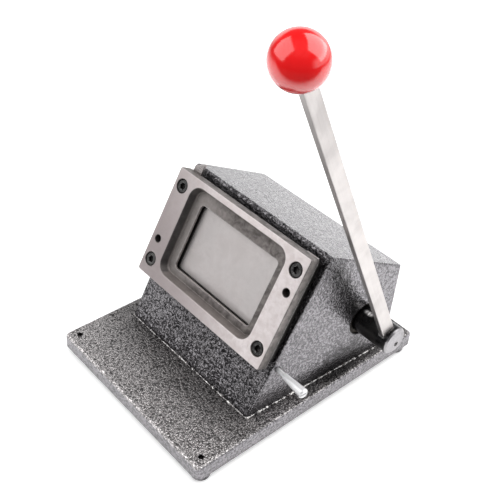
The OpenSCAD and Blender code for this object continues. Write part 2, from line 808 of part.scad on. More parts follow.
module punch_screws() {
    color("black") on_front(punch_screw_seat) place_all(punch_screw_places) rotate([180, 0, 0])
        socket_screw(punch_screw_end - punch_screw_seat);
}

module ram_bushes() {
    color("#b08d57") on_front() place_all(rod_places) difference() {
        union() {
            round_bar(ram_bush_r, ram_back - ram_bush_lip_thickness, spring_seat);
            round_bar(ram_bush_r + ram_bush_lip, ram_back - ram_bush_lip_thickness, ram_back);
        }
        round_bar(rod_r + run_gap, ram_back - ram_bush_lip_thickness - cut, spring_seat + cut);
    }
}

module tappet_plate() {
    color("#8a8a90") on_front(tappet_face) difference() {
        level_slab(0, tappet_thickness) rounded_rect(tappet_width, tappet_height, die_corner_r);
        place_all(tappet_screw_places) countersunk(tappet_screw_r, tappet_thickness + cut, fit_gap);
    }
}

module tappet_screws() {
    color("black") on_front(tappet_face) place_all(tappet_screw_places) difference() {
        countersunk(tappet_screw_r, tappet_screw_end - tappet_face);
        round_bar(tappet_screw_r * socket_share, -cut, tappet_screw_r, $fn = 6);
    }
}

// Lever and its shaft

module lever_shaft() {
    color("#2a2a2e") difference() {
        on_lever() difference() {
            rotate([0, 90, 0]) rotate_extrude() polygon([
                [0, shaft_left_x],
                [shaft_r - shaft_chamfer, shaft_left_x],
                [shaft_r, shaft_left_x + shaft_chamfer],
                [shaft_r, shaft_right_x - shaft_chamfer],
                [shaft_r - shaft_chamfer, shaft_right_x],
                [0, shaft_right_x]]);
            side_slab(bar_inner_x - fit_gap, bar_outer_x + fit_gap)
                translate([-bar_width / 2 - fit_gap, -bar_sink]) square([bar_width + 2 * fit_gap, through]);
            translate([0, 0, -lever_screw_drop])
                round_bar_x(lever_screw_r + fit_gap, bar_outer_x, shaft_right_x + cut);
        }
        across_hub(cam_pin_r + fit_gap, 4 * shaft_r);
    }
}

// Round bar through the middle of the cam's hub, square to the shaft
module across_hub(r, length) {
    on_shaft() translate([cam_width / 2 + hub_length / 2, 0, 0]) rotate([90, 0, 0])
        round_bar(r, -length / 2, length / 2);
}

module punch_cam() {
    flank = [for (i = [0 : cam_steps])
        cam_point((swing_angle + overrun_angle + cam_lead_in) * i / cam_steps - cam_lead_in)];
    color("#707078") difference() {
        on_shaft() difference() {
            union() {
                side_slab(-cam_width / 2, cam_width / 2)
                    polygon([each flank, hub_r * [cos(cam_heel), sin(cam_heel)], [0, 0]]);
                round_bar_x(hub_r, -cam_width / 2, cam_width / 2 + hub_length);
            }
            round_bar_x(shaft_r + fit_gap, -cam_width, cam_width + hub_length);
        }
        across_hub(cam_pin_r + fit_gap, 4 * hub_r);
    }
}

module cam_pin() {
    color("silver") across_hub(cam_pin_r, 2 * hub_r);
}

module at_collar_screws() {
    for (side = [-1, 1]) translate([side * (collar_outer_x - collar_width / 2), 0, 0])
        rotate([-90, 0, 0]) children();
}

module shaft_collars() {
    color("#505058") on_shaft() difference() {
        both_sides() round_bar_x(collar_r, collar_outer_x - collar_width, collar_outer_x);
        round_bar_x(shaft_r + fit_gap, -through, through);
        at_collar_screws() round_bar(collar_screw_r + fit_gap, 0, collar_r + cut);
    }
}

module collar_screws() {
    color("black") on_shaft() at_collar_screws() translate([0, 0, shaft_r])
        set_screw(collar_screw_r, collar_wall - screw_head_sink);
}

module lever_bar() {
    color("#d6d3ce") on_lever() {
        side_slab(bar_inner_x, bar_outer_x) polygon([
            [-bar_width / 2, -bar_sink],
            [bar_width / 2, -bar_sink],
            [bar_width / 2, 0],
            [bar_top_width / 2, bar_length],
            [-bar_top_width / 2, bar_length],
            [-bar_width / 2, 0]]);
        translate([bar_middle_x, 0, bar_length]) round_bar(stud_r, -cut, stud_length);
    }
}

module lever_screw() {
    color("black") on_lever() translate([bar_outer_x, 0, -lever_screw_drop]) rotate([0, 90, 0])
        set_screw(lever_screw_r, shaft_end - screw_head_sink);
}

module ball_knob() {
    color("red") on_lever() translate([bar_middle_x, 0, lever_reach]) difference() {
        sphere(knob_r);
        translate([0, 0, -knob_foot - knob_r]) cube(2 * knob_r, center = true);
        round_bar(stud_r + fit_gap, -knob_r, stud_length + hole_extra - knob_foot);
    }
}

module shaft_bushes() {
    color("#b08d57") both_sides() at_shaft() difference() {
        union() {
            round_bar_x(shaft_bush_r, bush_inner_x - shaft_bush_lip_thickness, bush_outer_x);
            round_bar_x(shaft_bush_r + shaft_bush_lip, bush_inner_x - shaft_bush_lip_thickness, bush_inner_x);
        }
        round_bar_x(shaft_r + run_gap, 0, through);
    }
}

base_plate();
body_casting();
body_screws();
guide_plate();
edge_guide_left();
edge_guide_right();
die_plate();
die_screws();
dowel_pins();
stop_pin();
shaft_bushes();
guide_rods();
rod_rings();
return_springs();
punch();
ram_block();
punch_screws();
ram_bushes();
tappet_plate();
tappet_screws();
lever_shaft();
punch_cam();
cam_pin();
shaft_collars();
collar_screws();
lever_bar();
lever_screw();
ball_knob();
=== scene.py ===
import json
import math
import bmesh
import bpy
from mathutils import Matrix, Vector, noise


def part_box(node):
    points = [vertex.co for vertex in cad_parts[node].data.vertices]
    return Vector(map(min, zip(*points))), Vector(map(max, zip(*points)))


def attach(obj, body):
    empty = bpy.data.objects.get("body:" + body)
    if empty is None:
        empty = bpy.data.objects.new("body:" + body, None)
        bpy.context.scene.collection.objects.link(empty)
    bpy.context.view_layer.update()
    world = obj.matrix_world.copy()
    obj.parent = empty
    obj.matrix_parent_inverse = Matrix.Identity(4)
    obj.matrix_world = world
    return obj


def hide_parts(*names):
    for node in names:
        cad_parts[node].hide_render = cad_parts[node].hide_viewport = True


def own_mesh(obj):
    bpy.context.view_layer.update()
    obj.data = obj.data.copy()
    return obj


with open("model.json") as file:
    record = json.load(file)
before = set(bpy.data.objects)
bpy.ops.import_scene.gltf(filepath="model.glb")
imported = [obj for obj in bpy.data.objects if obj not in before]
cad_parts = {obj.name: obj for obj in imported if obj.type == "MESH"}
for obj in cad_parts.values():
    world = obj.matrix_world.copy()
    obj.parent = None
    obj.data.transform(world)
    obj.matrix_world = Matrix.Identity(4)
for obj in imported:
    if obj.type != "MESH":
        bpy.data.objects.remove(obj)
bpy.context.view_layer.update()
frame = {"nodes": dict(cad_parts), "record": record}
nodes = frame["nodes"]


# Base plate: a thick iron slab, sand cast with a low round pad under each corner and drilled through the
# pads for bench screws. It is sprayed all over in a hammered grey finish, which pools into small glossy
# cells and thins to a pale line along its edges.
def shader_node(tree, kind, inputs=None, **settings):
    """Add a node to a tree, with its settings and with the value or the link of each input."""
    made = tree.nodes.new("ShaderNode" + kind)
    for name, value in settings.items():
        setattr(made, name, value)
    for name, value in (inputs or {}).items():
        if isinstance(value, bpy.types.NodeSocket):
            tree.links.new(value, made.inputs[name])
        else:
            made.inputs[name].default_value = value
    return made


def math_of(tree, operation, first, second=0.0):
    return shader_node(tree, "Math", {0: first, 1: second}, operation=operation).outputs[0]


def vector_of(tree, operation, first, second=(0.0, 0.0, 0.0)):
    """Vector made of two others, or the value that a length or a dot product gives."""
    made = shader_node(tree, "VectorMath", {0: first, 1: second}, operation=operation)
    return made.outputs["Value" if operation in ("LENGTH", "DOT_PRODUCT") else "Vector"]


def axes_of(tree, vector):
    return shader_node(tree, "SeparateXYZ", {0: vector}).outputs


def ramped(tree, value, low, high, start=0.0, end=1.0):
    """Value eased from start to end while it goes from low to high."""
    limits = {0: value, 1: low, 2: high, 3: start, 4: end}
    return shader_node(tree, "MapRange", limits, interpolation_type="SMOOTHSTEP").outputs[0]


def mixed(tree, share, low, high):
    """Colour that goes from low to high with a share between 0 and 1."""
    low, high = [tone if isinstance(tone, bpy.types.NodeSocket) else (*tone, 1.0) for tone in (low, high)]
    return shader_node(tree, "Mix", {0: share, 6: low, 7: high}, data_type="RGBA").outputs[2]


def tinted(tree, mask, share, colour, tone):
    """Colour that turns to a tone where a mask is set, by a share at most."""
    return mixed(tree, math_of(tree, "MULTIPLY", mask, share), colour, tone)


def noise_of(tree, place, grains_per_metre, detail, **shape):
    inputs = {"Vector": place, "Scale": grains_per_metre, "Detail": detail, **shape}
    return shader_node(tree, "TexNoise", inputs).outputs[0]


def piece_place(tree):
    """Metres on the piece itself."""
    return shader_node(tree, "TexCoord").outputs["Object"]


def piece_facing(tree):
    """The way that the surface looks, in the axes of the piece."""
    return shader_node(tree, "TexCoord").outputs["Normal"]


def tilted(tree, vector, tilt):
    """Vector in the axes of a face that is tilted about the machine's width."""
    return shader_node(tree, "Mapping", {"Vector": vector, "Rotation": (-tilt, 0.0, 0.0)}).outputs[0]


def distance_from(tree, point, place, weights):
    """Distance between two points, with a weight for each axis."""
    apart = vector_of(tree, "SUBTRACT", point, place)
    return vector_of(tree, "LENGTH", vector_of(tree, "MULTIPLY", apart, weights))


def new_group(name, inputs, outputs):
    """Empty shader node group with named inputs, each with its first value, and named outputs."""
    tree = bpy.data.node_groups.new(name, "ShaderNodeTree")
    for label, kind, value in inputs:
        socket = tree.interface.new_socket(label, in_out="INPUT", socket_type="NodeSocket" + kind)
        if value is not None:
            socket.default_value = value
    for label, kind in outputs:
        tree.interface.new_socket(label, in_out="OUTPUT", socket_type="NodeSocket" + kind)
    return tree, tree.nodes.new("NodeGroupInput").outputs, tree.nodes.new("NodeGroupOutput").inputs


def use_group(tree, group, inputs):
    return shader_node(tree, "Group", inputs, node_tree=group).outputs


def new_material(name):
    made = bpy.data.materials.new(name)
    made.use_nodes = True
    return made, made.node_tree, made.node_tree.nodes["Principled BSDF"]


def dress(tree, skin, colour, roughness, height, strength, depth):
    """Link a colour, a roughness and a fine relief to a material's shader."""
    relief = shader_node(tree, "Bump", {"Height": height, "Strength": strength, "Distance": depth})
    tree.links.new(colour, skin.inputs["Base Color"])
    tree.links.new(roughness, skin.inputs["Roughness"])
    tree.links.new(relief.outputs[0], skin.inputs["Normal"])


# Where handling rubs an outer edge, and where dust and shade gather in a hollow
SHADE_SAMPLES = 6
edges_and_hollows, given, kept = new_group(
    "edges and hollows",
    [("Edge Width", "Float", 0.001), ("Hollow Reach", "Float", 0.006), ("Breakup", "Float", 400.0)],
    [("Edge", "Float"), ("Hollow", "Float")])
inward = shader_node(edges_and_hollows, "AmbientOcclusion", {"Distance": given["Edge Width"]},
                     samples=SHADE_SAMPLES, inside=True, only_local=True)
outward = shader_node(edges_and_hollows, "AmbientOcclusion", {"Distance": given["Hollow Reach"]},
                      samples=SHADE_SAMPLES)
broken = noise_of(edges_and_hollows, piece_place(edges_and_hollows), given["Breakup"], 3.0)
rubbed_edge = math_of(edges_and_hollows, "MULTIPLY",
                      ramped(edges_and_hollows, inward.outputs["AO"], 0.95, 0.55),
                      ramped(edges_and_hollows, broken, 0.3, 0.6))
edges_and_hollows.links.new(rubbed_edge, kept["Edge"])
edges_and_hollows.links.new(ramped(edges_and_hollows, outward.outputs["AO"], 0.96, 0.46), kept["Hollow"])


def rubbed_on(tree, edge_width, hollow_reach, breakup):
    return use_group(tree, edges_and_hollows, {
        "Edge Width": edge_width, "Hollow Reach": hollow_reach, "Breakup": breakup})


# Small glossy cells that hammered paint draws itself into
COARSE_PER_METRE = 90.0
hammer_cells, given, kept = new_group(
    "hammer cells", [("Vector", "Vector", None), ("Cells per Metre", "Float", 600.0)],
    [("Height", "Float"), ("Tone", "Float")])
fine = noise_of(hammer_cells, given["Vector"], given["Cells per Metre"], 1.0, Roughness=0.5, Distortion=0.7)
coarse = noise_of(hammer_cells, given["Vector"], COARSE_PER_METRE, 2.0)
cells = math_of(hammer_cells, "ADD", fine, ramped(hammer_cells, coarse, 0.3, 0.7, -0.02, 0.02))
hammer_cells.links.new(ramped(hammer_cells, cells, 0.34, 0.66), kept["Height"])
hammer_cells.links.new(ramped(hammer_cells, cells, 0.38, 0.62), kept["Tone"])

# Painted shade under the shaft along the foot of the right wall, and a painted shadow of the lever on the
# wall behind it
SHAFT_SHADE_MIDDLE = (0.077, 0.034, 0.024)
SHAFT_SHADE_WEIGHTS = (1.2, 0.75, 1.35)
SHAFT_SHADE_SPAN = (0.031, 0.012)
SHAFT_SHADE_RAGGED = 0.007
SHAFT_SHADE_LEVEL = (0.0168, 0.0179)
SHAFT_SHADE_EDGE = (0.0835, 0.0795)
LEAN_ANGLE = math.radians(26.5)
LEVER_SHADOW_MIDDLE = 0.0712
LEVER_SHADOW_SPAN = (0.0085, 0.001)
LEVER_SHADOW_RAGGED = 0.003
LEVER_SHADOW_TOP = (0.122, 0.100)
LEVER_SHADOW_FOOT = (0.036, 0.050)
LEVER_SHADOW_WALL = (0.066, 0.070)
painted_shaft_and_lever_shade, given, kept = new_group(
    "painted shaft and lever shade", [("Vector", "Vector", None), ("Breakup", "Float", 260.0)], [("Painted Shade", "Float")])
patchy = noise_of(painted_shaft_and_lever_shade, given["Vector"], given["Breakup"], 3.0)
place = axes_of(painted_shaft_and_lever_shade, given["Vector"])
along_lever = axes_of(painted_shaft_and_lever_shade, tilted(painted_shaft_and_lever_shade, given["Vector"], LEAN_ANGLE))
# painted shade along the foot of the right wall, round the shaft
ragged = math_of(painted_shaft_and_lever_shade, "ADD", distance_from(painted_shaft_and_lever_shade, given["Vector"], SHAFT_SHADE_MIDDLE, SHAFT_SHADE_WEIGHTS),
                 ramped(painted_shaft_and_lever_shade, patchy, 0.3, 0.7, -SHAFT_SHADE_RAGGED, SHAFT_SHADE_RAGGED))
shaft_shade = math_of(painted_shaft_and_lever_shade, "MULTIPLY", ramped(painted_shaft_and_lever_shade, place["Z"], *SHAFT_SHADE_LEVEL),
              ramped(painted_shaft_and_lever_shade, place["X"], *SHAFT_SHADE_EDGE))
shaft_shade = math_of(painted_shaft_and_lever_shade, "MULTIPLY", shaft_shade, ramped(painted_shaft_and_lever_shade, ragged, *SHAFT_SHADE_SPAN))
# painted shadow of the lever, a band on the wall that runs along it
off_lever_shadow = math_of(painted_shaft_and_lever_shade, "ABSOLUTE", math_of(painted_shaft_and_lever_shade, "SUBTRACT", along_lever["Y"], LEVER_SHADOW_MIDDLE))
off_lever_shadow = math_of(painted_shaft_and_lever_shade, "ADD", off_lever_shadow, ramped(painted_shaft_and_lever_shade, patchy, 0.3, 0.7, -LEVER_SHADOW_RAGGED, LEVER_SHADOW_RAGGED))
lever_shadow = ramped(painted_shaft_and_lever_shade, off_lever_shadow, *LEVER_SHADOW_SPAN)
for reach, span in ((along_lever["Z"], LEVER_SHADOW_TOP), (along_lever["Z"], LEVER_SHADOW_FOOT), (place["X"], LEVER_SHADOW_WALL)):
    lever_shadow = math_of(painted_shaft_and_lever_shade, "MULTIPLY", lever_shadow, ramped(painted_shaft_and_lever_shade, reach, *span))
painted_shaft_and_lever_shade.links.new(math_of(painted_shaft_and_lever_shade, "MAXIMUM", shaft_shade, lever_shadow), kept["Painted Shade"])

CELL_DEPTH = 0.00036
WALL_CELL_SHARE = 0.32
LEVEL_WAY = (0.0, -0.5, 0.866)
PALER_FRONT_SPAN = (-0.055, -0.105)
PALER_FRONT_HOLLOW = (0.36, 0.343, 0.34)
PALER_FRONT_CREST = (1.0, 0.955, 0.95)


def hammer_paint(name, wall_tones, level_tones, edge_tone, edge_share, edge_width, hollow_reach, hollow_share,
                 paler_front=0.0):
    """Hammered metallic paint, dark between its cells and paler on them. It is glossy, so each cell mirrors
    the room. The cells are deepest on faces that lie level or lean back while they dry, and run smooth on
    walls. A level face turns paler towards its front."""
    made, tree, skin = new_material(name)
    place = piece_place(tree)
    cells = use_group(tree, hammer_cells, {"Vector": place})
    painted_shade = use_group(tree, painted_shaft_and_lever_shade, {"Vector": place})
    rub = rubbed_on(tree, edge_width, hollow_reach, breakup=500.0)
    level = ramped(tree, vector_of(tree, "DOT_PRODUCT", piece_facing(tree), LEVEL_WAY), 0.56, 0.8)
    front_paleness = ramped(tree, axes_of(tree, place)["Y"], *PALER_FRONT_SPAN, 0.0, paler_front)
    level_colour = mixed(tree, cells["Tone"], mixed(tree, front_paleness, level_tones[0], PALER_FRONT_HOLLOW),
                         mixed(tree, front_paleness, level_tones[1], PALER_FRONT_CREST))
    colour = mixed(tree, level, mixed(tree, cells["Tone"], *wall_tones), level_colour)
    # painted shade, with some dust, darkens hollows and inside corners
    colour = tinted(tree, rub["Hollow"], hollow_share, colour, (0.02, 0.019, 0.02))
    # painted shade of the shaft and painted shadow of the lever darken the paint
    colour = tinted(tree, painted_shade["Painted Shade"], 0.72, colour, (0.016, 0.015, 0.015))
    colour = tinted(tree, rub["Edge"], edge_share, colour, edge_tone)
    height = math_of(tree, "MULTIPLY", cells["Height"], ramped(tree, level, 0.0, 1.0, WALL_CELL_SHARE, 1.0))
    gloss = ramped(tree, cells["Tone"], 0.0, 1.0, 0.17, 0.09)
    dress(tree, skin, colour, gloss, height, strength=1.0, depth=CELL_DEPTH)
    skin.inputs["Metallic"].default_value = 0.85
    return made


def ring_mesh(name, rings, sharp_angle=35.0, endless=False):
    """Closed mesh over a row of rings of points, where a ring of one point closes an end."""
    made = bmesh.new()
    rows = [[made.verts.new(point) for point in ring] for ring in rings]
    if endless:
        rows.append(rows[0])
    for low, high in zip(rows, rows[1:]):
        count = max(len(low), len(high))
        for i in range(count):
            j = (i + 1) % count
            corners = (low[i % len(low)], low[j % len(low)], high[j % len(high)], high[i % len(high)])
            made.faces.new(list(dict.fromkeys(corners)))
    bmesh.ops.recalc_face_normals(made, faces=made.faces)
    mesh = bpy.data.meshes.new(name)
    made.to_mesh(mesh)
    made.free()
    mesh.shade_smooth()
    mesh.set_sharp_from_angle(angle=math.radians(sharp_angle))
    return mesh


def turned_ring(radius, height, sides=72, middle=(0.0, 0.0)):
    """Ring about an upright line, whose radius is a number or follows the angle."""
    ring = []
    for i in range(sides):
        angle = 2.0 * math.pi * i / sides
        reach = radius(angle) if callable(radius) else radius
        across, back = reach * math.cos(angle), reach * math.sin(angle)
        ring.append(Vector((middle[0] + across, middle[1] + back, height)))
    return ring


def turned_skin(profile, middle=(0.0, 0.0), sides=72):
    """Closed skin turned from pairs of radius and height, with a point on the axis at both ends."""
    rings = [turned_ring(radius, height, sides, middle) for radius, height in profile]
    ends = [[Vector((*middle, profile[at][1]))] for at in (0, -1)]
    return [ends[0], *rings, ends[1]]


def slab_ring(half_x, half_y, corner_r, height, steps=12):
    """Ring round a rectangle with rounded corners."""
    ring = []
    for corner, (sign_x, sign_y) in enumerate(((1, 1), (-1, 1), (-1, -1), (1, -1))):
        for step in range(steps + 1):
            angle = (corner + step / steps) * math.pi / 2.0
            ring.append(Vector((sign_x * (half_x - corner_r) + corner_r * math.cos(angle),
                                sign_y * (half_y - corner_r) + corner_r * math.sin(angle), height)))
    return ring


def rounded_edge(radius, steps):
    """Pairs of inset and rise round a quarter circle that starts flat and ends upright."""
    angles = [step / steps * math.pi / 2.0 for step in range(steps + 1)]
    return [(radius * (1.0 - math.sin(angle)), radius * (1.0 - math.cos(angle))) for angle in angles]


def carved(name, first, added, cut, sharp_angle=30.0):
    """Mesh of one skin with others joined to it and cut from it."""
    whole = bpy.data.objects.new(name, ring_mesh(name, first))
    helpers = []
    for skins, operation in ((added, "UNION"), (cut, "DIFFERENCE")):
        for skin in skins:
            helper = bpy.data.objects.new("helper", ring_mesh("helper", skin))
            helpers.append(helper)
            step = whole.modifiers.new("carve", "BOOLEAN")
            step.operation = operation
            step.solver = "EXACT"
            step.object = helper
    for made in [whole, *helpers]:
        bpy.context.scene.collection.objects.link(made)
    bpy.context.view_layer.update()
    mesh = bpy.data.meshes.new_from_object(whole.evaluated_get(bpy.context.evaluated_depsgraph_get()))
    for made in [whole, *helpers]:
        left = made.data
        bpy.data.objects.remove(made)
        bpy.data.meshes.remove(left)
    mesh.name = name
    mesh.shade_smooth()
    mesh.set_sharp_from_angle(angle=math.radians(sharp_angle))
    return mesh


def add_piece(name, mesh, material, body, slot, *replaced):
    """Put a new piece on a body with a material, and hide the nodes that it stands for. The slot is not used.
    """
    piece = bpy.data.objects.new(name, mesh)
    bpy.context.scene.collection.objects.link(piece)
    mesh.materials.clear()
    mesh.materials.append(material)
    even = piece.modifiers.new("even shading", "WEIGHTED_NORMAL")
    even.keep_sharp = True
    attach(piece, body)
    if replaced:
        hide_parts(*replaced)
    return piece


BASE_CORNER_R = 0.004
BASE_TOP_EDGE_R = 0.0022
BASE_FOOT_EDGE_R = 0.0009
BASE_DRAFT = 0.0002
PAD_HEIGHT = 0.0055
PAD_ROOT = 0.003
PAD_R = 0.00725
PAD_EDGE_R = 0.0012
PAD_EDGE_SHARES = ((1.0, 0.0), (1.0 / 2.0, 1.0 / 6.0), (1.0 / 6.0, 1.0 / 2.0), (0.0, 1.0))
BENCH_HOLE_R = 0.002
BENCH_HOLE_CHAMFERS = (0.0006, 0.0003)
BENCH_SPREAD = (0.0765, 0.103)
COUNTERBORE_R = 0.0055
COUNTERBORE_DEPTH = 0.0065
SHANK_HOLE_R = 0.0033
CUT_PAST = 0.001
HOLE_SIDES = 40
BODY_SCREW_PLACES = [(side * half_x, row_y) for row_y, half_x in ((-0.03, 0.059955), (0.067983, 0.065437))
                     for side in (-1.0, 1.0)]
base_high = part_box("base_plate")[1]
base_top = base_high.z


def base_ring(inset, height):
    return slab_ring(base_high.x - inset, base_high.y - inset, BASE_CORNER_R - inset, height)


base_skin = [[Vector((0.0, 0.0, PAD_HEIGHT))]]
base_skin += [base_ring(inset, PAD_HEIGHT + rise) for inset, rise in rounded_edge(BASE_FOOT_EDGE_R, steps=4)]
base_skin += [base_ring(BASE_DRAFT + inset, base_top - drop)
              for inset, drop in reversed(rounded_edge(BASE_TOP_EDGE_R, steps=6))]
base_skin.append([Vector((0.0, 0.0, base_top))])
pad_profile = [(PAD_R - inset * PAD_EDGE_R, rise * PAD_EDGE_R) for inset, rise in PAD_EDGE_SHARES]
pad_profile.append((PAD_R, PAD_HEIGHT + PAD_ROOT))
foot_chamfer, top_chamfer = BENCH_HOLE_CHAMFERS
bench_hole = [(BENCH_HOLE_R + foot_chamfer + CUT_PAST, -CUT_PAST), (BENCH_HOLE_R, foot_chamfer),
              (BENCH_HOLE_R, base_top - top_chamfer),
              (BENCH_HOLE_R + top_chamfer + CUT_PAST, base_top + CUT_PAST)]
screw_seat = PAD_HEIGHT + COUNTERBORE_DEPTH
screw_hole = [(COUNTERBORE_R, PAD_HEIGHT - CUT_PAST), (COUNTERBORE_R, screw_seat), (SHANK_HOLE_R, screw_seat),
              (SHANK_HOLE_R, base_top + 2.0 * CUT_PAST)]
bench_places = [(x * BENCH_SPREAD[0], y * BENCH_SPREAD[1]) for x in (-1.0, 1.0) for y in (-1.0, 1.0)]
pads = [turned_skin(pad_profile, place) for place in bench_places]
base_cuts = [turned_skin(bench_hole, place, HOLE_SIDES) for place in bench_places]
base_cuts += [turned_skin(screw_hole, place, HOLE_SIDES) for place in BODY_SCREW_PLACES]
base_paint = hammer_paint(
    "hammered base paint", [(0.135, 0.1295, 0.137), (0.318, 0.304, 0.32)],
    [(0.088, 0.0845, 0.0845), (0.43, 0.41, 0.407)], (0.62, 0.60, 0.61), edge_share=0.12, edge_width=0.0012,
    hollow_reach=0.014, hollow_share=0.9, paler_front=0.6)
add_piece("cast_base", carved("cast_base", base_skin, pads, base_cuts), base_paint, "frame", "hammer_paint",
          "base_plate")


# Body casting: a hollow iron wedge with a sloping front that carries the tools and a flat roof square to it.
# It is cast in one piece, machined on its foot and front, and sprayed with the base after it is screwed on.
SEAM_GAP = 0.000002
FLAT_ANGLE = math.radians(0.6)
EDGE_ANGLE = math.radians(32.0)
EDGE_BREAK = 0.0003


def finish_node(name, material, edge_radius=EDGE_BREAK, segments=2):
    """Give a carried-over node its material and soften its edges by a small radius."""
    piece = nodes[name]
    piece.data.materials.clear()
    piece.data.materials.append(material)
    weld = piece.modifiers.new("join seams", "WELD")
    weld.merge_threshold = SEAM_GAP
    flat = piece.modifiers.new("flat faces", "DECIMATE")
    flat.decimate_type = "DISSOLVE"
    flat.angle_limit = FLAT_ANGLE
    soft = piece.modifiers.new("soft edges", "BEVEL")
    soft.width = edge_radius
    soft.segments = segments
    soft.limit_method = "ANGLE"
    soft.angle_limit = EDGE_ANGLE
    soft.use_clamp_overlap = False
    soft.loop_slide = False
    even = piece.modifiers.new("even shading", "WEIGHTED_NORMAL")
    even.keep_sharp = True
    piece.data.shade_smooth()
    return piece


body_paint = hammer_paint(
    "hammered body paint", [(0.122, 0.117, 0.123), (0.315, 0.302, 0.318)],
    [(0.028, 0.027, 0.029), (0.345, 0.332, 0.345)], (0.02, 0.019, 0.02), edge_share=1.0, edge_width=0.0024,
    hollow_reach=0.020, hollow_share=0.74)
finish_node("body_casting", body_paint, edge_radius=0.0008, segments=3)


# Joint bead: the narrow line of filler where the body stands on the base. Its pale tone is a painted
# highlight along the joint. It is wiped on by hand before spraying, so its width wanders.
BEAD_STEP = 0.0012
BEAD_R = 0.0011
BEAD_SIDES = 10
BEAD_OUT = 0.0001
BEAD_CORNER = 0.003
BEAD_LUMPS_PER_METRE = 300.0
BEAD_MEAN_SHARE = 0.62
BEAD_SWING_SHARE = 1.9
BEAD_LEAST_SHARE = 0.08
BODY_FRONT_HALF = 0.070
body_low, body_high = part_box("body_casting")
corner_y = body_high.y - BEAD_CORNER
bead_corners = [Vector(place) for place in (
    (-BODY_FRONT_HALF, body_low.y), (BODY_FRONT_HALF, body_low.y),
    (body_high.x, corner_y), (body_high.x - BEAD_CORNER, body_high.y),
    (body_low.x + BEAD_CORNER, body_high.y), (body_low.x, corner_y))]
bead_points = []
for start, end in zip(bead_corners, bead_corners[1:] + bead_corners[:1]):
    count = max(2, round((end - start).length / BEAD_STEP))
    bead_points += [start.lerp(end, i / count) for i in range(count)]
bead_rings = []
for i, point in enumerate(bead_points):
    along = (bead_points[(i + 1) % len(bead_points)] - bead_points[i - 1]).normalized()
    out = Vector((along.y, -along.x, 0.0))
    wander = noise.noise(Vector((point.x, point.y, 0.0)) * BEAD_LUMPS_PER_METRE)
    reach = BEAD_R * max(BEAD_LEAST_SHARE, BEAD_MEAN_SHARE + BEAD_SWING_SHARE * wander)
    middle = Vector((point.x, point.y, base_top)) + BEAD_OUT * out
    ring = []
    for side in range(BEAD_SIDES):
        angle = 2.0 * math.pi * side / BEAD_SIDES
        ring.append(middle + reach * (math.cos(angle) * out + math.sin(angle) * Vector((0.0, 0.0, 1.0))))
    bead_rings.append(ring)
BEAD_HIGHLIGHT_TONES = [(0.40, 0.38, 0.37), (0.94, 0.92, 0.90)]
bead_highlight_paint = hammer_paint(
    "joint bead with painted highlight", BEAD_HIGHLIGHT_TONES, BEAD_HIGHLIGHT_TONES, (0.95, 0.93, 0.92), edge_share=0.5, edge_width=0.0012,
    hollow_reach=0.001, hollow_share=0.2)
bead_mesh = ring_mesh("joint_bead", bead_rings, sharp_angle=60.0, endless=True)
add_piece("joint_bead", bead_mesh, bead_highlight_paint, "frame", "hammer_paint")


# Body screws: four black socket-head screws that come up through the base into posts inside the body.
# They are forged, with a knurled head and a rolled thread, and their heads sit in counterbores underneath.
SCREW_HEAD_R = 0.005
SCREW_HEAD_HEIGHT = 0.006
SCREW_KEY = 0.005
SCREW_R = 0.003
SCREW_TIP_SHARE = 0.7
SCREW_TIP = 0.0006
HEAD_FOOT_BREAK = (0.0004, 0.0003)
HEAD_TOP_BREAKS = ((0.0001, 0.0008), (0.0002, 0.0003), (0.0006, 0.0))
SOCKET_BREAK = (0.0002, 0.0004)
SOCKET_CONE = 0.0007
KNURLS = 24
KNURL_END = 0.0009
KNURL_DEPTH = 0.00012
THREAD_PITCH = 0.001
THREAD_DEPTH = 0.00055
THREAD_SHARE = 0.6
PLAIN_SHARE = 0.38
RINGS_PER_PITCH = 4


def socket_screw(length):
    """Rings of a socket-head screw with its head's seat at zero and its shank below."""
    def socket(angle):
        return SCREW_KEY / 2.0 / math.cos(angle % (math.pi / 3.0) - math.pi / 6.0)

    def knurl(angle):
        return SCREW_HEAD_R - KNURL_DEPTH * (1.0 + math.cos(KNURLS * angle))

    def thread(height):
        def reach(angle):
            phase = (height / THREAD_PITCH - angle / (2.0 * math.pi)) % 1.0
            return SCREW_R - THREAD_DEPTH * abs(2.0 * phase - 1.0)
        return reach
    top = SCREW_HEAD_HEIGHT
    steps = int(THREAD_SHARE * length / THREAD_PITCH * RINGS_PER_PITCH)
    turns = [-length + SCREW_TIP + step * THREAD_PITCH / RINGS_PER_PITCH for step in range(steps + 1)]
    profile = [(SCREW_R * SCREW_TIP_SHARE, -length)]
    profile += [(thread(height), height) for height in turns]
    profile += [(SCREW_R, -PLAIN_SHARE * length), (SCREW_R, 0.0), (SCREW_HEAD_R - HEAD_FOOT_BREAK[0], 0.0)]
    profile += [(knurl, HEAD_FOOT_BREAK[1]), (knurl, top - KNURL_END)]
    profile += [(SCREW_HEAD_R - inset, top - drop) for inset, drop in HEAD_TOP_BREAKS]
    profile += [(SCREW_KEY / math.sqrt(3.0) + SOCKET_BREAK[0], top), (socket, top - SOCKET_BREAK[1])]
    profile.append((socket, top / 2.0))
    rings = [turned_ring(radius, height) for radius, height in profile]
    return [[Vector((0.0, 0.0, -length))], *rings, [Vector((0.0, 0.0, top / 2.0 - SOCKET_CONE))]]


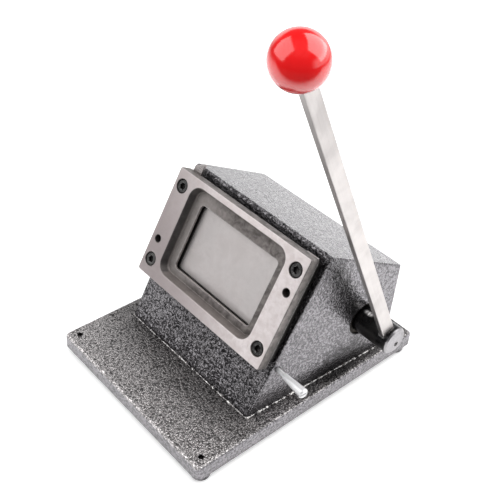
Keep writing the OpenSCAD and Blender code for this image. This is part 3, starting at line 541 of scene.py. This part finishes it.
# Fine lines that a tool leaves, and cloudy stains of oil and handling
tool_lines, given, kept = new_group(
    "tool lines", [("Vector", "Vector", None), ("Lines per Metre", "Float", 2500.0)], [("Lines", "Float")])
scratch = noise_of(tool_lines, given["Vector"], given["Lines per Metre"], 4.0, Roughness=0.7)
tool_lines.links.new(ramped(tool_lines, scratch, 0.25, 0.75), kept["Lines"])
oil_stains, given, kept = new_group(
    "oil stains", [("Vector", "Vector", None), ("Stains per Metre", "Float", 45.0)], [("Stain", "Float")])
cloud = noise_of(oil_stains, given["Vector"], given["Stains per Metre"], 5.0, Roughness=0.62, Distortion=0.4)
oil_stains.links.new(ramped(oil_stains, cloud, 0.32, 0.7), kept["Stain"])


def lines_on(tree, tilt, stretch, lines_per_metre):
    """Tool lines on a tilted face, drawn out along the axes with a small stretch."""
    place = vector_of(tree, "MULTIPLY", tilted(tree, piece_place(tree), tilt), stretch)
    return use_group(tree, tool_lines, {"Vector": place, "Lines per Metre": lines_per_metre})["Lines"]


def stains_on(tree, stains_per_metre):
    return use_group(tree, oil_stains, {
        "Vector": piece_place(tree), "Stains per Metre": stains_per_metre})["Stain"]


def lined_gloss(tree, lines, swing, mask, low, high):
    """Roughness that goes from low to high over a mask, and swings a little with the tool lines."""
    return math_of(tree, "ADD", ramped(tree, lines, 0.0, 1.0, -swing, swing),
                   ramped(tree, mask, 0.0, 1.0, low, high))


def metal_finish(name, clean, stained, bare_and_sheen, roughness, tilt=0.0, stretch=(1.0, 1.0, 1.0), lines=2500.0,
                 line_depth=0.00002, edge_wear_and_sheen=0.6, dust_and_shade=0.6, metallic=1.0, edge_width=0.0006, side_shade=0.0):
    """Metal with tool lines along one way, cloudy stains, rubbed edges, whose pale tone on black oxide is
    also a painted sheen, and dirt with painted shade in its hollows. A painted side shade darkens the faces
    that don't look to the machine's right, most of all those that look left."""
    made, tree, skin = new_material(name)
    along = lines_on(tree, tilt, stretch, lines)
    stain = stains_on(tree, stains_per_metre=45.0)
    rub = rubbed_on(tree, edge_width, hollow_reach=0.005, breakup=700.0)
    colour = mixed(tree, stain, clean, stained)
    # dirt and painted shade darken the hollows
    colour = tinted(tree, rub["Hollow"], dust_and_shade, colour, (0.02, 0.017, 0.015))
    colour = tinted(tree, rub["Edge"], edge_wear_and_sheen, colour, bare_and_sheen)
    if side_shade:
        rightward = axes_of(tree, piece_facing(tree))["X"]
        # painted shade on the faces that look away from the machine's right
        painted_side_shade = math_of(tree, "ADD", ramped(tree, rightward, 0.8, 0.5, 0.0, side_shade),
                       ramped(tree, rightward, -0.5, -0.8, 0.0, 0.5 * side_shade))
        colour = mixed(tree, painted_side_shade, colour, (0.03, 0.028, 0.027))
    gloss = lined_gloss(tree, along, swing=0.07, mask=stain, low=roughness - 0.05, high=roughness + 0.08)
    dress(tree, skin, colour, gloss, along, strength=0.5, depth=line_depth)
    skin.inputs["Metallic"].default_value = metallic
    return made


# Its pale edges are wear and also a painted highlight round the screw heads
black_oxide = metal_finish(
    "black oxide", (0.065, 0.064, 0.065), (0.13, 0.127, 0.123), (0.58, 0.57, 0.56), 0.32, edge_wear_and_sheen=0.85,
    metallic=0.85)


def placed(place, rings):
    return [[place @ point for point in ring] for ring in rings]


def seat_screws(stem, length, seats, node, body):
    """Set one screw on each seat, which gives the place of its head and the way that the head points."""
    for number, seat in enumerate(seats, 1):
        mesh = ring_mesh(f"{stem}_{number}", placed(seat, socket_screw(length)))
        add_piece(f"{stem}_{number}", mesh, black_oxide, body, "black_steel", node)


upside_down = Matrix.Rotation(math.pi, 4, "X")
screw_low, screw_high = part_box("body_screws")
under_head = screw_low.z + SCREW_HEAD_HEIGHT
body_seats = [Matrix.Translation((x, y, under_head)) @ upside_down for x, y in BODY_SCREW_PLACES]
seat_screws("body_screw", screw_high.z - under_head, body_seats, "body_screws", "frame")


# Guide plate: a dark hardened plate on the body's front, with the opening that the punch slides in.
# It is milled from tool steel, and the die screws clamp it under the die plate.
FRONT_ANGLE = math.radians(62.0)
dark_tool_steel = metal_finish(
    "dark tool steel", (0.045, 0.043, 0.042), (0.025, 0.024, 0.023), (0.35, 0.33, 0.32), 0.42,
    tilt=FRONT_ANGLE, stretch=(0.04, 1.0, 1.0), metallic=0.8)
finish_node("guide_plate", dark_tool_steel)


# Edge guides: two ground strips that leave a slot open between the plates and keep the work square in it.
# They are cut from flat stock, and the left one runs up past the die plate as a slanted finger.
ground_steel = metal_finish(
    "ground steel", (0.60, 0.56, 0.55), (0.46, 0.42, 0.41), (0.80, 0.77, 0.75), 0.34, tilt=FRONT_ANGLE,
    stretch=(0.03, 1.0, 1.0), edge_wear_and_sheen=0.7)
for node in ("edge_guide_left", "edge_guide_right"):
    finish_node(node, ground_steel)


# Die plate: the thick steel frame whose card-size opening is the cutting edge, at the floor of a tapered
# pocket. It is cast, surface ground to a pale satin on its face, and left dark and oily on its sides and in
# the pocket. Painted shade darkens the face towards its lower left corner, the sides towards the back and the
# outer part of the pocket's left wall; painted light makes the pocket's lower side and the left of its floor
# paler.
DIE_THICKNESS = 0.009
FACE_EDGE_R = 0.0008
BACK_EDGE_R = 0.0003
GROUND_DEPTHS = (0.0012, 0.0003)
FACE_SHADE_SLANT = 0.8
FACE_SHADE_SPAN = (0.04, -0.085)
POCKET_HALF_FADE = 0.01
FLOOR_FADE = 0.047
FLOOR_DEPTHS = (0.0050, 0.0066)
SIDE_SPAN = (0.066, 0.0705)
SIDE_DEPTH = 0.001
die_low, die_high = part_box("die_plate")
die_middle = (die_low + die_high) / 2.0
die_level = Matrix.Rotation(-FRONT_ANGLE, 4, "X") @ die_middle
face_level = die_level.z + DIE_THICKNESS / 2.0
outward_way = Vector((0.0, -math.sin(FRONT_ANGLE), math.cos(FRONT_ANGLE)))


def die_finish():
    """Satin face with painted shade towards its lower left corner, on a dark speckled casting with painted
    light and shade in its pocket and painted shade on its sides.
    """
    made, tree, skin = new_material("die plate steel")
    along = lines_on(tree, FRONT_ANGLE, stretch=(0.05, 1.0, 1.0), lines_per_metre=1800.0)
    stain = stains_on(tree, stains_per_metre=26.0)
    speck = stains_on(tree, stains_per_metre=190.0)
    rub = rubbed_on(tree, edge_width=0.0009, hollow_reach=0.006, breakup=600.0)
    place = axes_of(tree, tilted(tree, piece_place(tree), FRONT_ANGLE))
    facing = axes_of(tree, tilted(tree, piece_facing(tree), FRONT_ANGLE))
    ground = math_of(tree, "MULTIPLY", ramped(tree, facing["Z"], 0.75, 0.97),
                     ramped(tree, place["Z"], *[face_level - depth for depth in GROUND_DEPTHS]))
    above_middle = math_of(tree, "SUBTRACT", place["Y"], die_level.y)
    slant = math_of(tree, "ADD", place["X"], math_of(tree, "MULTIPLY", above_middle, FACE_SHADE_SLANT))
    face = mixed(tree, stain, (0.91, 0.846, 0.842), (0.79, 0.725, 0.72))
    face = mixed(tree, speck, face, (0.74, 0.668, 0.655))
    # painted shade across the face, darkest towards its lower left corner
    face = mixed(tree, ramped(tree, slant, *FACE_SHADE_SPAN, 0.0, 0.85), face, (0.34, 0.292, 0.292))
    # painted light on the pocket's lower wall, which faces up
    painted_lit_lower_wall = math_of(tree, "MULTIPLY", ramped(tree, facing["Y"], 0.2, 0.5, 0.0, 0.6),
                         ramped(tree, above_middle, 0.0, -POCKET_HALF_FADE))
    # painted shade on the outer part of the pocket's left wall, painted light near its floor
    left_wall_light_and_shade = math_of(tree, "MULTIPLY", ramped(tree, facing["X"], 0.2, 0.5, 0.0, 0.8),
                         ramped(tree, place["X"], 0.0, -POCKET_HALF_FADE))
    # painted light on the left of the pocket floor
    painted_lit_left_floor = math_of(tree, "MULTIPLY", ramped(tree, facing["Z"], 0.8, 0.95, 0.0, 0.55),
                         ramped(tree, place["X"], 0.0, -FLOOR_FADE))
    near_floor = ramped(tree, place["Z"], *[face_level - depth for depth in FLOOR_DEPTHS])
    painted_left_light_shade = mixed(tree, near_floor, (0.075, 0.071, 0.070), (0.44, 0.404, 0.389))
    # painted shade: the plate's outer sides darken towards its back
    side = math_of(tree, "MULTIPLY", ramped(tree, math_of(tree, "ABSOLUTE", place["X"]), *SIDE_SPAN),
                   ramped(tree, place["Z"], face_level - SIDE_DEPTH, face_level - DIE_THICKNESS, 0.0, 0.75))
    cast = mixed(tree, speck, (0.27, 0.244, 0.234), (0.11, 0.098, 0.093))
    cast = mixed(tree, painted_lit_lower_wall, cast, (0.46, 0.408, 0.388))
    cast = mixed(tree, math_of(tree, "MAXIMUM", left_wall_light_and_shade, painted_lit_left_floor), cast, painted_left_light_shade)
    cast = mixed(tree, side, cast, (0.02, 0.018, 0.017))
    colour = mixed(tree, ground, cast, face)
    colour = tinted(tree, rub["Hollow"], 0.5, colour, (0.03, 0.025, 0.022))
    colour = tinted(tree, rub["Edge"], 0.7, colour, (0.82, 0.79, 0.78))
    gloss = lined_gloss(tree, along, swing=0.06, mask=ground, low=0.5, high=0.48)
    dress(tree, skin, colour, gloss, along, strength=0.4, depth=0.00003)
    tree.links.new(ramped(tree, ground, 0.0, 1.0, 0.75, 0.7), skin.inputs["Metallic"])
    return made


# The edges of the face take a larger radius than those behind it, by a weight on each edge
ON_FACE = 0.0001
die = finish_node("die_plate", die_finish(), FACE_EDGE_R, segments=3)
die.modifiers["soft edges"].limit_method = "WEIGHT"
edge_weights = bpy.data.node_groups.new("die edge weights", "GeometryNodeTree")
for in_out in ("INPUT", "OUTPUT"):
    edge_weights.interface.new_socket("Geometry", in_out=in_out, socket_type="NodeSocketGeometry")
edge_place = edge_weights.nodes.new("GeometryNodeInputPosition")
edge_bend = edge_weights.nodes.new("GeometryNodeInputMeshEdgeAngle")
edge_level = vector_of(edge_weights, "DOT_PRODUCT", edge_place.outputs[0], outward_way)
at_face = math_of(edge_weights, "GREATER_THAN", edge_level, face_level - ON_FACE)
radius_share = ramped(edge_weights, at_face, 0.0, 1.0, BACK_EDGE_R / FACE_EDGE_R, 1.0)
is_edge = math_of(edge_weights, "GREATER_THAN", edge_bend.outputs[0], EDGE_ANGLE)
weight = edge_weights.nodes.new("GeometryNodeStoreNamedAttribute")
weight.domain = "EDGE"
weight.inputs["Name"].default_value = "bevel_weight_edge"
edge_weights.links.new(math_of(edge_weights, "MULTIPLY", radius_share, is_edge), weight.inputs["Value"])
edge_weights.links.new(edge_weights.nodes.new("NodeGroupInput").outputs[0], weight.inputs["Geometry"])
edge_weights.links.new(weight.outputs[0], edge_weights.nodes.new("NodeGroupOutput").inputs[0])
weigh = die.modifiers.new("edge weights", "NODES")
weigh.node_group = edge_weights
die.modifiers.move(die.modifiers.find("edge weights"), die.modifiers.find("soft edges"))


# Die screws: four black socket-head screws, sunk in the corners of the die plate.
# They pass through the die plate, the edge guides and the guide plate into tapped holes in the body.
DIE_FRONT = 0.017
DIE_SCREW_SPREAD = (0.0625, 0.03175)
DIE_SCREW_SEAT = 0.0105
DIE_SCREW_LENGTH = 0.020
TURN_MIDDLE = 0.4
TURN_BY_SIDE = 0.9
TURN_BY_ROW = 0.5
front_foot = die_middle - (DIE_FRONT - DIE_THICKNESS / 2.0) * outward_way
on_front = Matrix.Translation(front_foot) @ Matrix.Rotation(FRONT_ANGLE, 4, "X")


def corner_seats(spread, level):
    """Four seats on the sloping front, at the corners of a rectangle, each with its side and row."""
    return [(on_front @ Matrix.Translation((side * spread[0], row * spread[1], level)), side, row)
            for side in (-1.0, 1.0) for row in (-1.0, 1.0)]


# Each screw stops at its own turn when it is driven home
die_seats = [seat @ Matrix.Rotation(TURN_MIDDLE + TURN_BY_SIDE * side + TURN_BY_ROW * row, 4, "Z")
             for seat, side, row in corner_seats(DIE_SCREW_SPREAD, DIE_SCREW_SEAT)]
seat_screws("die_screw", DIE_SCREW_LENGTH, die_seats, "die_screws", "frame")


# Dowel pins: two hardened ground pins, set diagonally, that keep the die and the guide plate in line.
# They are pressed in below the face of the die plate, and oil and painted shade darken their holes.
dowel_steel = metal_finish(
    "dowel steel", (0.16, 0.155, 0.15), (0.08, 0.075, 0.07), (0.5, 0.48, 0.46), 0.35, tilt=FRONT_ANGLE)
finish_node("dowel_pins", dowel_steel)


# Guide rods: two hardened and polished rods with a flat head, set through the front wall for the ram to
# slide on. A spring clip in a groove at the inner end of each rod holds the ram back at rest.
polished_steel = metal_finish(
    "polished steel", (0.80, 0.79, 0.79), (0.66, 0.65, 0.65), (0.9, 0.9, 0.9), 0.16, tilt=FRONT_ANGLE,
    lines=4000.0, line_depth=0.000006, edge_wear_and_sheen=0.3, dust_and_shade=0.4)
finish_node("guide_rods", polished_steel)
finish_node("rod_rings", black_oxide, edge_radius=0.0002)


# Return springs: two springs of bright drawn wire on the guide rods, closed at both ends.
# They push the ram away from the front wall, and close up as it comes forward.
ROD_SPREAD = 0.05102
SPRING_R = 0.0059
WIRE_R = 0.0009
SPRING_ENDS = (-0.0321, -0.0129)
SPRING_TURNS = 6
END_PITCH = 0.0023
STEPS_PER_TURN = 32
WIRE_SIDES = 12
spring_steel = metal_finish(
    "spring wire", (0.55, 0.54, 0.53), (0.38, 0.37, 0.36), (0.7, 0.69, 0.68), 0.3, lines=3000.0, edge_wear_and_sheen=0.2,
    edge_width=0.0002)
back_end, front_end = SPRING_ENDS
open_turns = SPRING_TURNS - 2
open_pitch = (front_end - back_end - 2.0 * END_PITCH) / open_turns


def spring_rings(middle_x):
    """Rings along a wire that winds with a close turn at each end and open turns between."""
    rings = []
    for step in range(SPRING_TURNS * STEPS_PER_TURN + 1):
        turn = step / STEPS_PER_TURN
        rise = END_PITCH * min(turn, 1.0) + open_pitch * max(0.0, min(turn - 1.0, open_turns))
        rise += END_PITCH * max(0.0, turn - SPRING_TURNS + 1.0)
        angle = 2.0 * math.pi * turn
        ring = []
        for side in range(WIRE_SIDES):
            around = 2.0 * math.pi * side / WIRE_SIDES
            reach = SPRING_R + WIRE_R * math.cos(around)
            ring.append(on_front @ Vector((middle_x + reach * math.cos(angle), reach * math.sin(angle),
                                           back_end + rise + WIRE_R * math.sin(around))))
        rings.append(ring)
    for end, at in ((rings[0], 0), (rings[-1], len(rings) + 1)):
        rings.insert(at, [sum(end, Vector()) / len(end)])
    return rings


for side, word in ((-1.0, "left"), (1.0, "right")):
    mesh = ring_mesh(f"return_spring_{word}", spring_rings(side * ROD_SPREAD))
    spring = add_piece(f"return_spring_{word}", mesh, spring_steel, "frame", "lever_steel", "return_springs")
    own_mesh(spring)


# Punch and ram: the hardened punch fits the die's opening, and four screws hold it to a block that slides on
# rods. Bronze bushes run on the rods, and a hard tappet plate on the boss behind takes the push of the cam.
PUNCH_SCREW_SPREAD = (0.03, 0.017)
PUNCH_SCREW_SEAT = -0.0385
PUNCH_SCREW_LENGTH = 0.025
punch_steel = metal_finish(
    "lapped punch steel", (0.72, 0.68, 0.67), (0.60, 0.56, 0.55), (0.85, 0.82, 0.80), 0.42, tilt=FRONT_ANGLE,
    stretch=(0.02, 1.0, 1.0), lines=3500.0, line_depth=0.000006, edge_wear_and_sheen=0.5, dust_and_shade=0.3, metallic=0.8)
finish_node("punch", punch_steel, edge_radius=0.0002)
finish_node("ram_block", dark_tool_steel, edge_radius=0.0004)
punch_seats = [seat @ upside_down for seat, side, row in corner_seats(PUNCH_SCREW_SPREAD, PUNCH_SCREW_SEAT)]
seat_screws("punch_screw", PUNCH_SCREW_LENGTH, punch_seats, "punch_screws", "ram")
bearing_bronze = metal_finish(
    "bearing bronze", (0.10, 0.075, 0.04), (0.045, 0.035, 0.022), (0.30, 0.22, 0.12), 0.4, tilt=FRONT_ANGLE,
    lines=1800.0, edge_wear_and_sheen=0.5)
finish_node("ram_bushes", bearing_bronze, edge_radius=0.0002)
finish_node("tappet_plate", ground_steel)
finish_node("tappet_screws", black_oxide, edge_radius=0.0001)


# Shaft bushes: two flanged bronze bushes in the cast bosses of the side walls, just under the outer faces.
# They are turned from bar and pressed in from inside.
oiled_bronze = metal_finish(
    "oiled bronze", (0.045, 0.036, 0.024), (0.022, 0.018, 0.013), (0.10, 0.08, 0.05), 0.5,
    stretch=(1.0, 0.05, 0.05), lines=1800.0, edge_wear_and_sheen=0.3, dust_and_shade=0.9)
finish_node("shaft_bushes", oiled_bronze)


# Lever shaft: a stout round bar across the body, blacked all over after it is turned.
# The foot of the lever sits in a slot near its end, and its end face is turned bright again afterwards.
GLINT_SPOT = Vector((0.0815, 0.0515, 0.0698))
GLINT_WEIGHTS = (0.8, 1.6, 1.6)
GLINT_SPAN = (0.0046, 0.0008)
SHAFT_LINES = 2200.0
shaft_place = Vector(frame["record"]["behaviour"]["joints"][0]["pos_m"])


def shaft_finish():
    """Black oxide with a painted highlight on its top near the lever, and a bright end face with the rings of
    its turning.
    """
    made, tree, skin = new_material("blacked shaft")
    place = piece_place(tree)
    stain = stains_on(tree, stains_per_metre=60.0)
    rub = rubbed_on(tree, edge_width=0.0012, hollow_reach=0.004, breakup=500.0)
    on_end = ramped(tree, axes_of(tree, piece_facing(tree))["X"], 0.45, 0.7)
    off_axis = distance_from(tree, place, shaft_place, (0.0, 1.0, 1.0))
    across = lines_on(tree, tilt=0.0, stretch=(1.0, 0.03, 0.03), lines_per_metre=SHAFT_LINES)
    rings = use_group(tree, tool_lines, {
        "Vector": shader_node(tree, "CombineXYZ", {0: off_axis}).outputs[0], "Lines per Metre": SHAFT_LINES})
    lines = shader_node(tree, "Mix", {0: on_end, 2: across, 3: rings["Lines"]}).outputs[0]
    # painted highlight: a pale, less metallic spot on the shaft near the lever
    off_spot = distance_from(tree, place, GLINT_SPOT, GLINT_WEIGHTS)
    painted_glint = math_of(tree, "MULTIPLY", ramped(tree, off_spot, *GLINT_SPAN),
                     ramped(tree, across, 0.2, 0.7, 0.15, 1.0))
    black = mixed(tree, stain, (0.018, 0.018, 0.02), (0.045, 0.043, 0.042))
    black = mixed(tree, painted_glint, black, (0.86, 0.84, 0.82))
    colour = mixed(tree, on_end, black, mixed(tree, stain, (0.38, 0.367, 0.38), (0.28, 0.27, 0.278)))
    colour = tinted(tree, rub["Hollow"], 0.5, colour, (0.012, 0.011, 0.011))
    colour = tinted(tree, rub["Edge"], 0.6, colour, (0.80, 0.78, 0.78))
    gloss = lined_gloss(tree, lines, swing=0.06, mask=stain, low=0.26, high=0.36)
    dress(tree, skin, colour, gloss, lines, strength=0.6, depth=0.00003)
    tree.links.new(ramped(tree, painted_glint, 0.0, 1.0, 0.9, 0.3), skin.inputs["Metallic"])
    return made


finish_node("lever_shaft", shaft_finish())


# Cam, pin and collars: a hardened cam is pinned across the shaft, and two collars keep the shaft in place.
# The cam is milled and ground on its flank, and a set screw holds each collar.
finish_node("punch_cam", ground_steel)
finish_node("cam_pin", polished_steel)
finish_node("shaft_collars", dark_tool_steel, edge_radius=0.0004)
finish_node("collar_screws", black_oxide, edge_radius=0.0002)


# Lever bar: a flat bar of bright drawn steel, tapered a little towards the knob and let into the slot of the
# shaft. Its outer face is linished along its length, the others are duller as drawn and also darkened by
# painted shade, most of all the inner face, and a small set screw in the shaft's end holds its foot.
BAR_FOOT = -0.0065
BAR_LENGTH = 0.272
BAR_HALF_WIDTHS = (0.0055, 0.00525)
BAR_EDGE_R = 0.0007
BAR_CHAMFER = 0.0005
BAR_STEPS = 12
BAR_CORNER_STEPS = 5
STUD_R = 0.0025
STUD_TOP = 0.2915
STUD_CHAMFER = 0.0006
lever_steel = metal_finish(
    "bright drawn bar", (0.62, 0.588, 0.575), (0.56, 0.53, 0.52), (0.72, 0.70, 0.68), 0.40, tilt=LEAN_ANGLE,
    stretch=(1.0, 1.0, 0.02), lines=1600.0, line_depth=0.00003, edge_wear_and_sheen=0.5, dust_and_shade=0.3, side_shade=0.4)
bar_low, bar_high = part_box("lever_bar")
bar_half = (bar_high.x - bar_low.x) / 2.0
bar_middle = (bar_high.x + bar_low.x) / 2.0
on_lever = Matrix.Translation(shaft_place) @ Matrix.Rotation(LEAN_ANGLE, 4, "X")


def bar_ring(inset, height):
    share = max(0.0, height) / BAR_LENGTH
    half_width = BAR_HALF_WIDTHS[0] + (BAR_HALF_WIDTHS[1] - BAR_HALF_WIDTHS[0]) * share
    return slab_ring(bar_half - inset, half_width - inset, BAR_EDGE_R, height, BAR_CORNER_STEPS)


bar_rings = [[Vector((0.0, 0.0, BAR_FOOT))], bar_ring(BAR_CHAMFER, BAR_FOOT)]
bar_rings.append(bar_ring(0.0, BAR_FOOT + BAR_CHAMFER))
bar_rings += [bar_ring(0.0, BAR_LENGTH * step / BAR_STEPS) for step in range(BAR_STEPS)]
bar_rings += [bar_ring(0.0, BAR_LENGTH - BAR_CHAMFER), bar_ring(BAR_CHAMFER, BAR_LENGTH)]
stud_profile = [(STUD_R, BAR_LENGTH), (STUD_R, STUD_TOP - STUD_CHAMFER), (STUD_R - STUD_CHAMFER, STUD_TOP)]
for stud_r, height in stud_profile:
    ways = [Vector((point.x, point.y, 0.0)).normalized() for point in bar_ring(0.0, BAR_LENGTH)]
    bar_rings.append([stud_r * way + Vector((0.0, 0.0, height)) for way in ways])
bar_rings.append([Vector((0.0, 0.0, STUD_TOP))])
bar_place = on_lever @ Matrix.Translation((bar_middle, 0.0, 0.0))
bar_mesh = ring_mesh("drawn_lever", placed(bar_place, bar_rings), sharp_angle=32.0)
add_piece("drawn_lever", bar_mesh, lever_steel, "lever", "lever_steel", "lever_bar")
finish_node("lever_screw", black_oxide, edge_radius=0.0002)


# Ball knob: a phenolic ball, moulded in gloss red and screwed on the stud at the top of the lever.
# It has a flat face round the threaded hole at its foot, and faint swirls from polishing.
KNOB_R = 0.01598
KNOB_FOOT = 0.014
KNOB_SIDES = 96
KNOB_STEPS = 48
KNOB_FIRST_STEP = 0.35
KNOB_FLAT_EDGE = 0.0003
LEVER_REACH = 0.286
STUD_HOLE_R = 0.00255
STUD_HOLE_TOP = 0.007
STUD_HOLE_CHAMFER = 0.0005


def knob_finish():
    made, tree, skin = new_material("red phenolic")
    flow = stains_on(tree, stains_per_metre=40.0)
    swirl = lines_on(tree, tilt=0.0, stretch=(1.0, 1.0, 1.0), lines_per_metre=900.0)
    rub = rubbed_on(tree, edge_width=0.0008, hollow_reach=0.004, breakup=500.0)
    colour = mixed(tree, flow, (0.93, 0.006, 0.007), (0.86, 0.005, 0.006))
    colour = tinted(tree, rub["Edge"], 0.3, colour, (0.9, 0.2, 0.18))
    gloss = ramped(tree, swirl, 0.0, 1.0, 0.13, 0.19)
    dress(tree, skin, colour, gloss, swirl, strength=0.04, depth=0.00002)
    skin.inputs["Specular IOR Level"].default_value = 0.8
    skin.inputs["Coat Weight"].default_value = 0.8
    skin.inputs["Coat Roughness"].default_value = 0.1
    return made


flat_angle = math.acos(KNOB_FOOT / KNOB_R)
ball_angles = [flat_angle + (math.pi - flat_angle) * (step + KNOB_FIRST_STEP) / KNOB_STEPS
               for step in range(KNOB_STEPS)]
knob_profile = [(STUD_HOLE_R, STUD_HOLE_TOP), (STUD_HOLE_R, -KNOB_FOOT + STUD_HOLE_CHAMFER),
                (STUD_HOLE_R + STUD_HOLE_CHAMFER, -KNOB_FOOT),
                (KNOB_R * math.sin(flat_angle) - KNOB_FLAT_EDGE, -KNOB_FOOT)]
knob_profile += [(KNOB_R * math.sin(angle), -KNOB_R * math.cos(angle)) for angle in ball_angles]
knob_rings = [turned_ring(radius, height, KNOB_SIDES) for radius, height in knob_profile]
knob_rings = [[Vector((0.0, 0.0, STUD_HOLE_TOP))], *knob_rings, [Vector((0.0, 0.0, KNOB_R))]]
knob_place = on_lever @ Matrix.Translation((bar_middle, 0.0, LEVER_REACH))
knob_mesh = ring_mesh("red_ball", placed(knob_place, knob_rings), sharp_angle=50.0)
add_piece("red_ball", knob_mesh, knob_finish(), "lever", "red_knob", "ball_knob")


# Stop pin: a bright turned pin screwed into the right wall, which grows towards its slotted tip.
# The front edge of the lever lands on it at the end of the stroke.
stop_steel = metal_finish(
    "bright stop pin", (0.92, 0.92, 0.93), (0.84, 0.84, 0.85), (0.97, 0.97, 0.97), 0.42,
    stretch=(1.0, 0.05, 0.05), line_depth=0.00001, edge_wear_and_sheen=0.3, dust_and_shade=0.4, metallic=0.55)
finish_node("stop_pin", stop_steel)


# Stage: a plain pale floor under soft studio light, with large soft boxes at the front left and the back
# right and a fill from above. The room is unlit at the front right, so metal mirrors a dark floor there.
# The camera stands where the photograph was taken.
FLOOR_HALF = 4.0
FLOOR_GRAINS_PER_METRE = 30.0
DARK_WAY = (0.719, -0.695, 0.0)
DARK_SPAN = (0.22, 0.45)
DARK_FLOOR = (0.05, 0.05, 0.05)
BOUNCE_LOSS = 0.55
GLOW_SPAN = (0.5, 1.3)
FAR_SPAN = (0.4, 1.6)
floor_mesh = bpy.data.meshes.new("pale_floor")
floor_corners = [(x * FLOOR_HALF, y * FLOOR_HALF, 0.0) for x, y in ((-1, -1), (1, -1), (1, 1), (-1, 1))]
floor_mesh.from_pydata(floor_corners, [], [(0, 1, 2, 3)])
floor = bpy.data.objects.new("pale_floor", floor_mesh)
bpy.context.scene.collection.objects.link(floor)
floor_paint, tree, floor_skin = new_material("pale floor")
floor_place = piece_place(tree)
floor_rays = shader_node(tree, "LightPath").outputs
mirrored = math_of(tree, "MULTIPLY", floor_rays["Is Glossy Ray"],
                   ramped(tree, vector_of(tree, "DOT_PRODUCT", floor_place, DARK_WAY), *DARK_SPAN))
bounced = math_of(tree, "MULTIPLY", floor_rays["Is Diffuse Ray"], BOUNCE_LOSS)
floor_dim = math_of(tree, "MAXIMUM", mirrored, bounced)
floor_pale = mixed(tree, noise_of(tree, floor_place, FLOOR_GRAINS_PER_METRE, 3.0), (0.93, 0.93, 0.93),
                   (0.96, 0.96, 0.96))
# The floor glows as painted light, brightest near the machine and brighter still far off to the camera.
# Mirror rays towards the front right see it dark, a painted reflection, and bounced rays see it dimmer.
floor_reach = vector_of(tree, "LENGTH", floor_place)
floor_glow = mixed(tree, ramped(tree, floor_reach, *GLOW_SPAN), (1.0, 1.0, 1.0), (0.3, 0.3, 0.3))
floor_far = math_of(tree, "MULTIPLY", ramped(tree, floor_reach, *FAR_SPAN), floor_rays["Is Camera Ray"])
floor_glow = mixed(tree, floor_far, floor_glow, (2.7, 2.7, 2.7))
tree.links.new(mixed(tree, floor_dim, floor_pale, DARK_FLOOR), floor_skin.inputs["Base Color"])
tree.links.new(mixed(tree, floor_dim, floor_glow, DARK_FLOOR), floor_skin.inputs["Emission Color"])
floor_skin.inputs["Roughness"].default_value = 0.7
floor_skin.inputs["Emission Strength"].default_value = 0.35
floor_mesh.materials.append(floor_paint)
LIGHT_AIM = Vector((0.0, 0.0, 0.1))


def soft_box(name, toward, distance, width, height, power):
    """Area light that stands off along a direction and looks back at the machine."""
    way = Vector(toward).normalized()
    data = bpy.data.lights.new(name, "AREA")
    data.shape = "RECTANGLE"
    data.size = width
    data.size_y = height
    data.energy = power
    made = bpy.data.objects.new(name, data)
    bpy.context.scene.collection.objects.link(made)
    turn = way.to_track_quat("Z", "Y").to_matrix().to_4x4()
    made.matrix_world = Matrix.Translation(LIGHT_AIM + distance * way) @ turn
    return made


soft_box("front left box", (-0.47, -0.60, 0.65), distance=1.5, width=1.7, height=1.5, power=13.0)
soft_box("back right box", (0.34, 0.62, 0.70), distance=1.5, width=2.0, height=1.7, power=25.0)
fill_box = soft_box("top box", (0.25, -0.30, 0.92), distance=1.6, width=1.6, height=1.6, power=16.0)
fill_box.visible_glossy = False
studio = bpy.data.worlds.new("studio")
studio.use_nodes = True
room = studio.node_tree
room_way = axes_of(room, shader_node(room, "TexCoord").outputs["Generated"])
backdrop = math_of(room, "MULTIPLY", ramped(room, room_way["Y"], -0.1, 0.35),
                   ramped(room, room_way["Z"], 0.45, 0.25))
room_light = mixed(room, backdrop, (0.10, 0.10, 0.105), (1.1, 1.1, 1.1))
room_rays = shader_node(room, "LightPath").outputs
room_light = mixed(room, room_rays["Is Camera Ray"], room_light, (0.97, 0.97, 0.97))
room.links.new(room_light, room.nodes["Background"].inputs["Color"])
room.nodes["Background"].inputs["Strength"].default_value = 1.0
bpy.context.scene.world = studio
bpy.context.scene.view_settings.view_transform = "Standard"

CAMERA_PLACE = Vector((0.36205, -0.34858, 0.49202))
CAMERA_RIGHT = Vector((0.65723, 0.75095, 0.06419))
CAMERA_UP = Vector((-0.49510, 0.36596, 0.78800))
CAMERA_BACK = Vector((0.56826, -0.54968, 0.61232))
camera_data = bpy.data.cameras.new("camera")
camera_data.sensor_width = 36.0
camera_data.lens = 61.43
camera_data.clip_start = 0.01
camera = bpy.data.objects.new("camera", camera_data)
bpy.context.scene.collection.objects.link(camera)
camera_turn = Matrix((CAMERA_RIGHT, CAMERA_UP, CAMERA_BACK)).transposed().to_4x4()
camera.matrix_world = Matrix.Translation(CAMERA_PLACE) @ camera_turn
bpy.context.scene.camera = camera
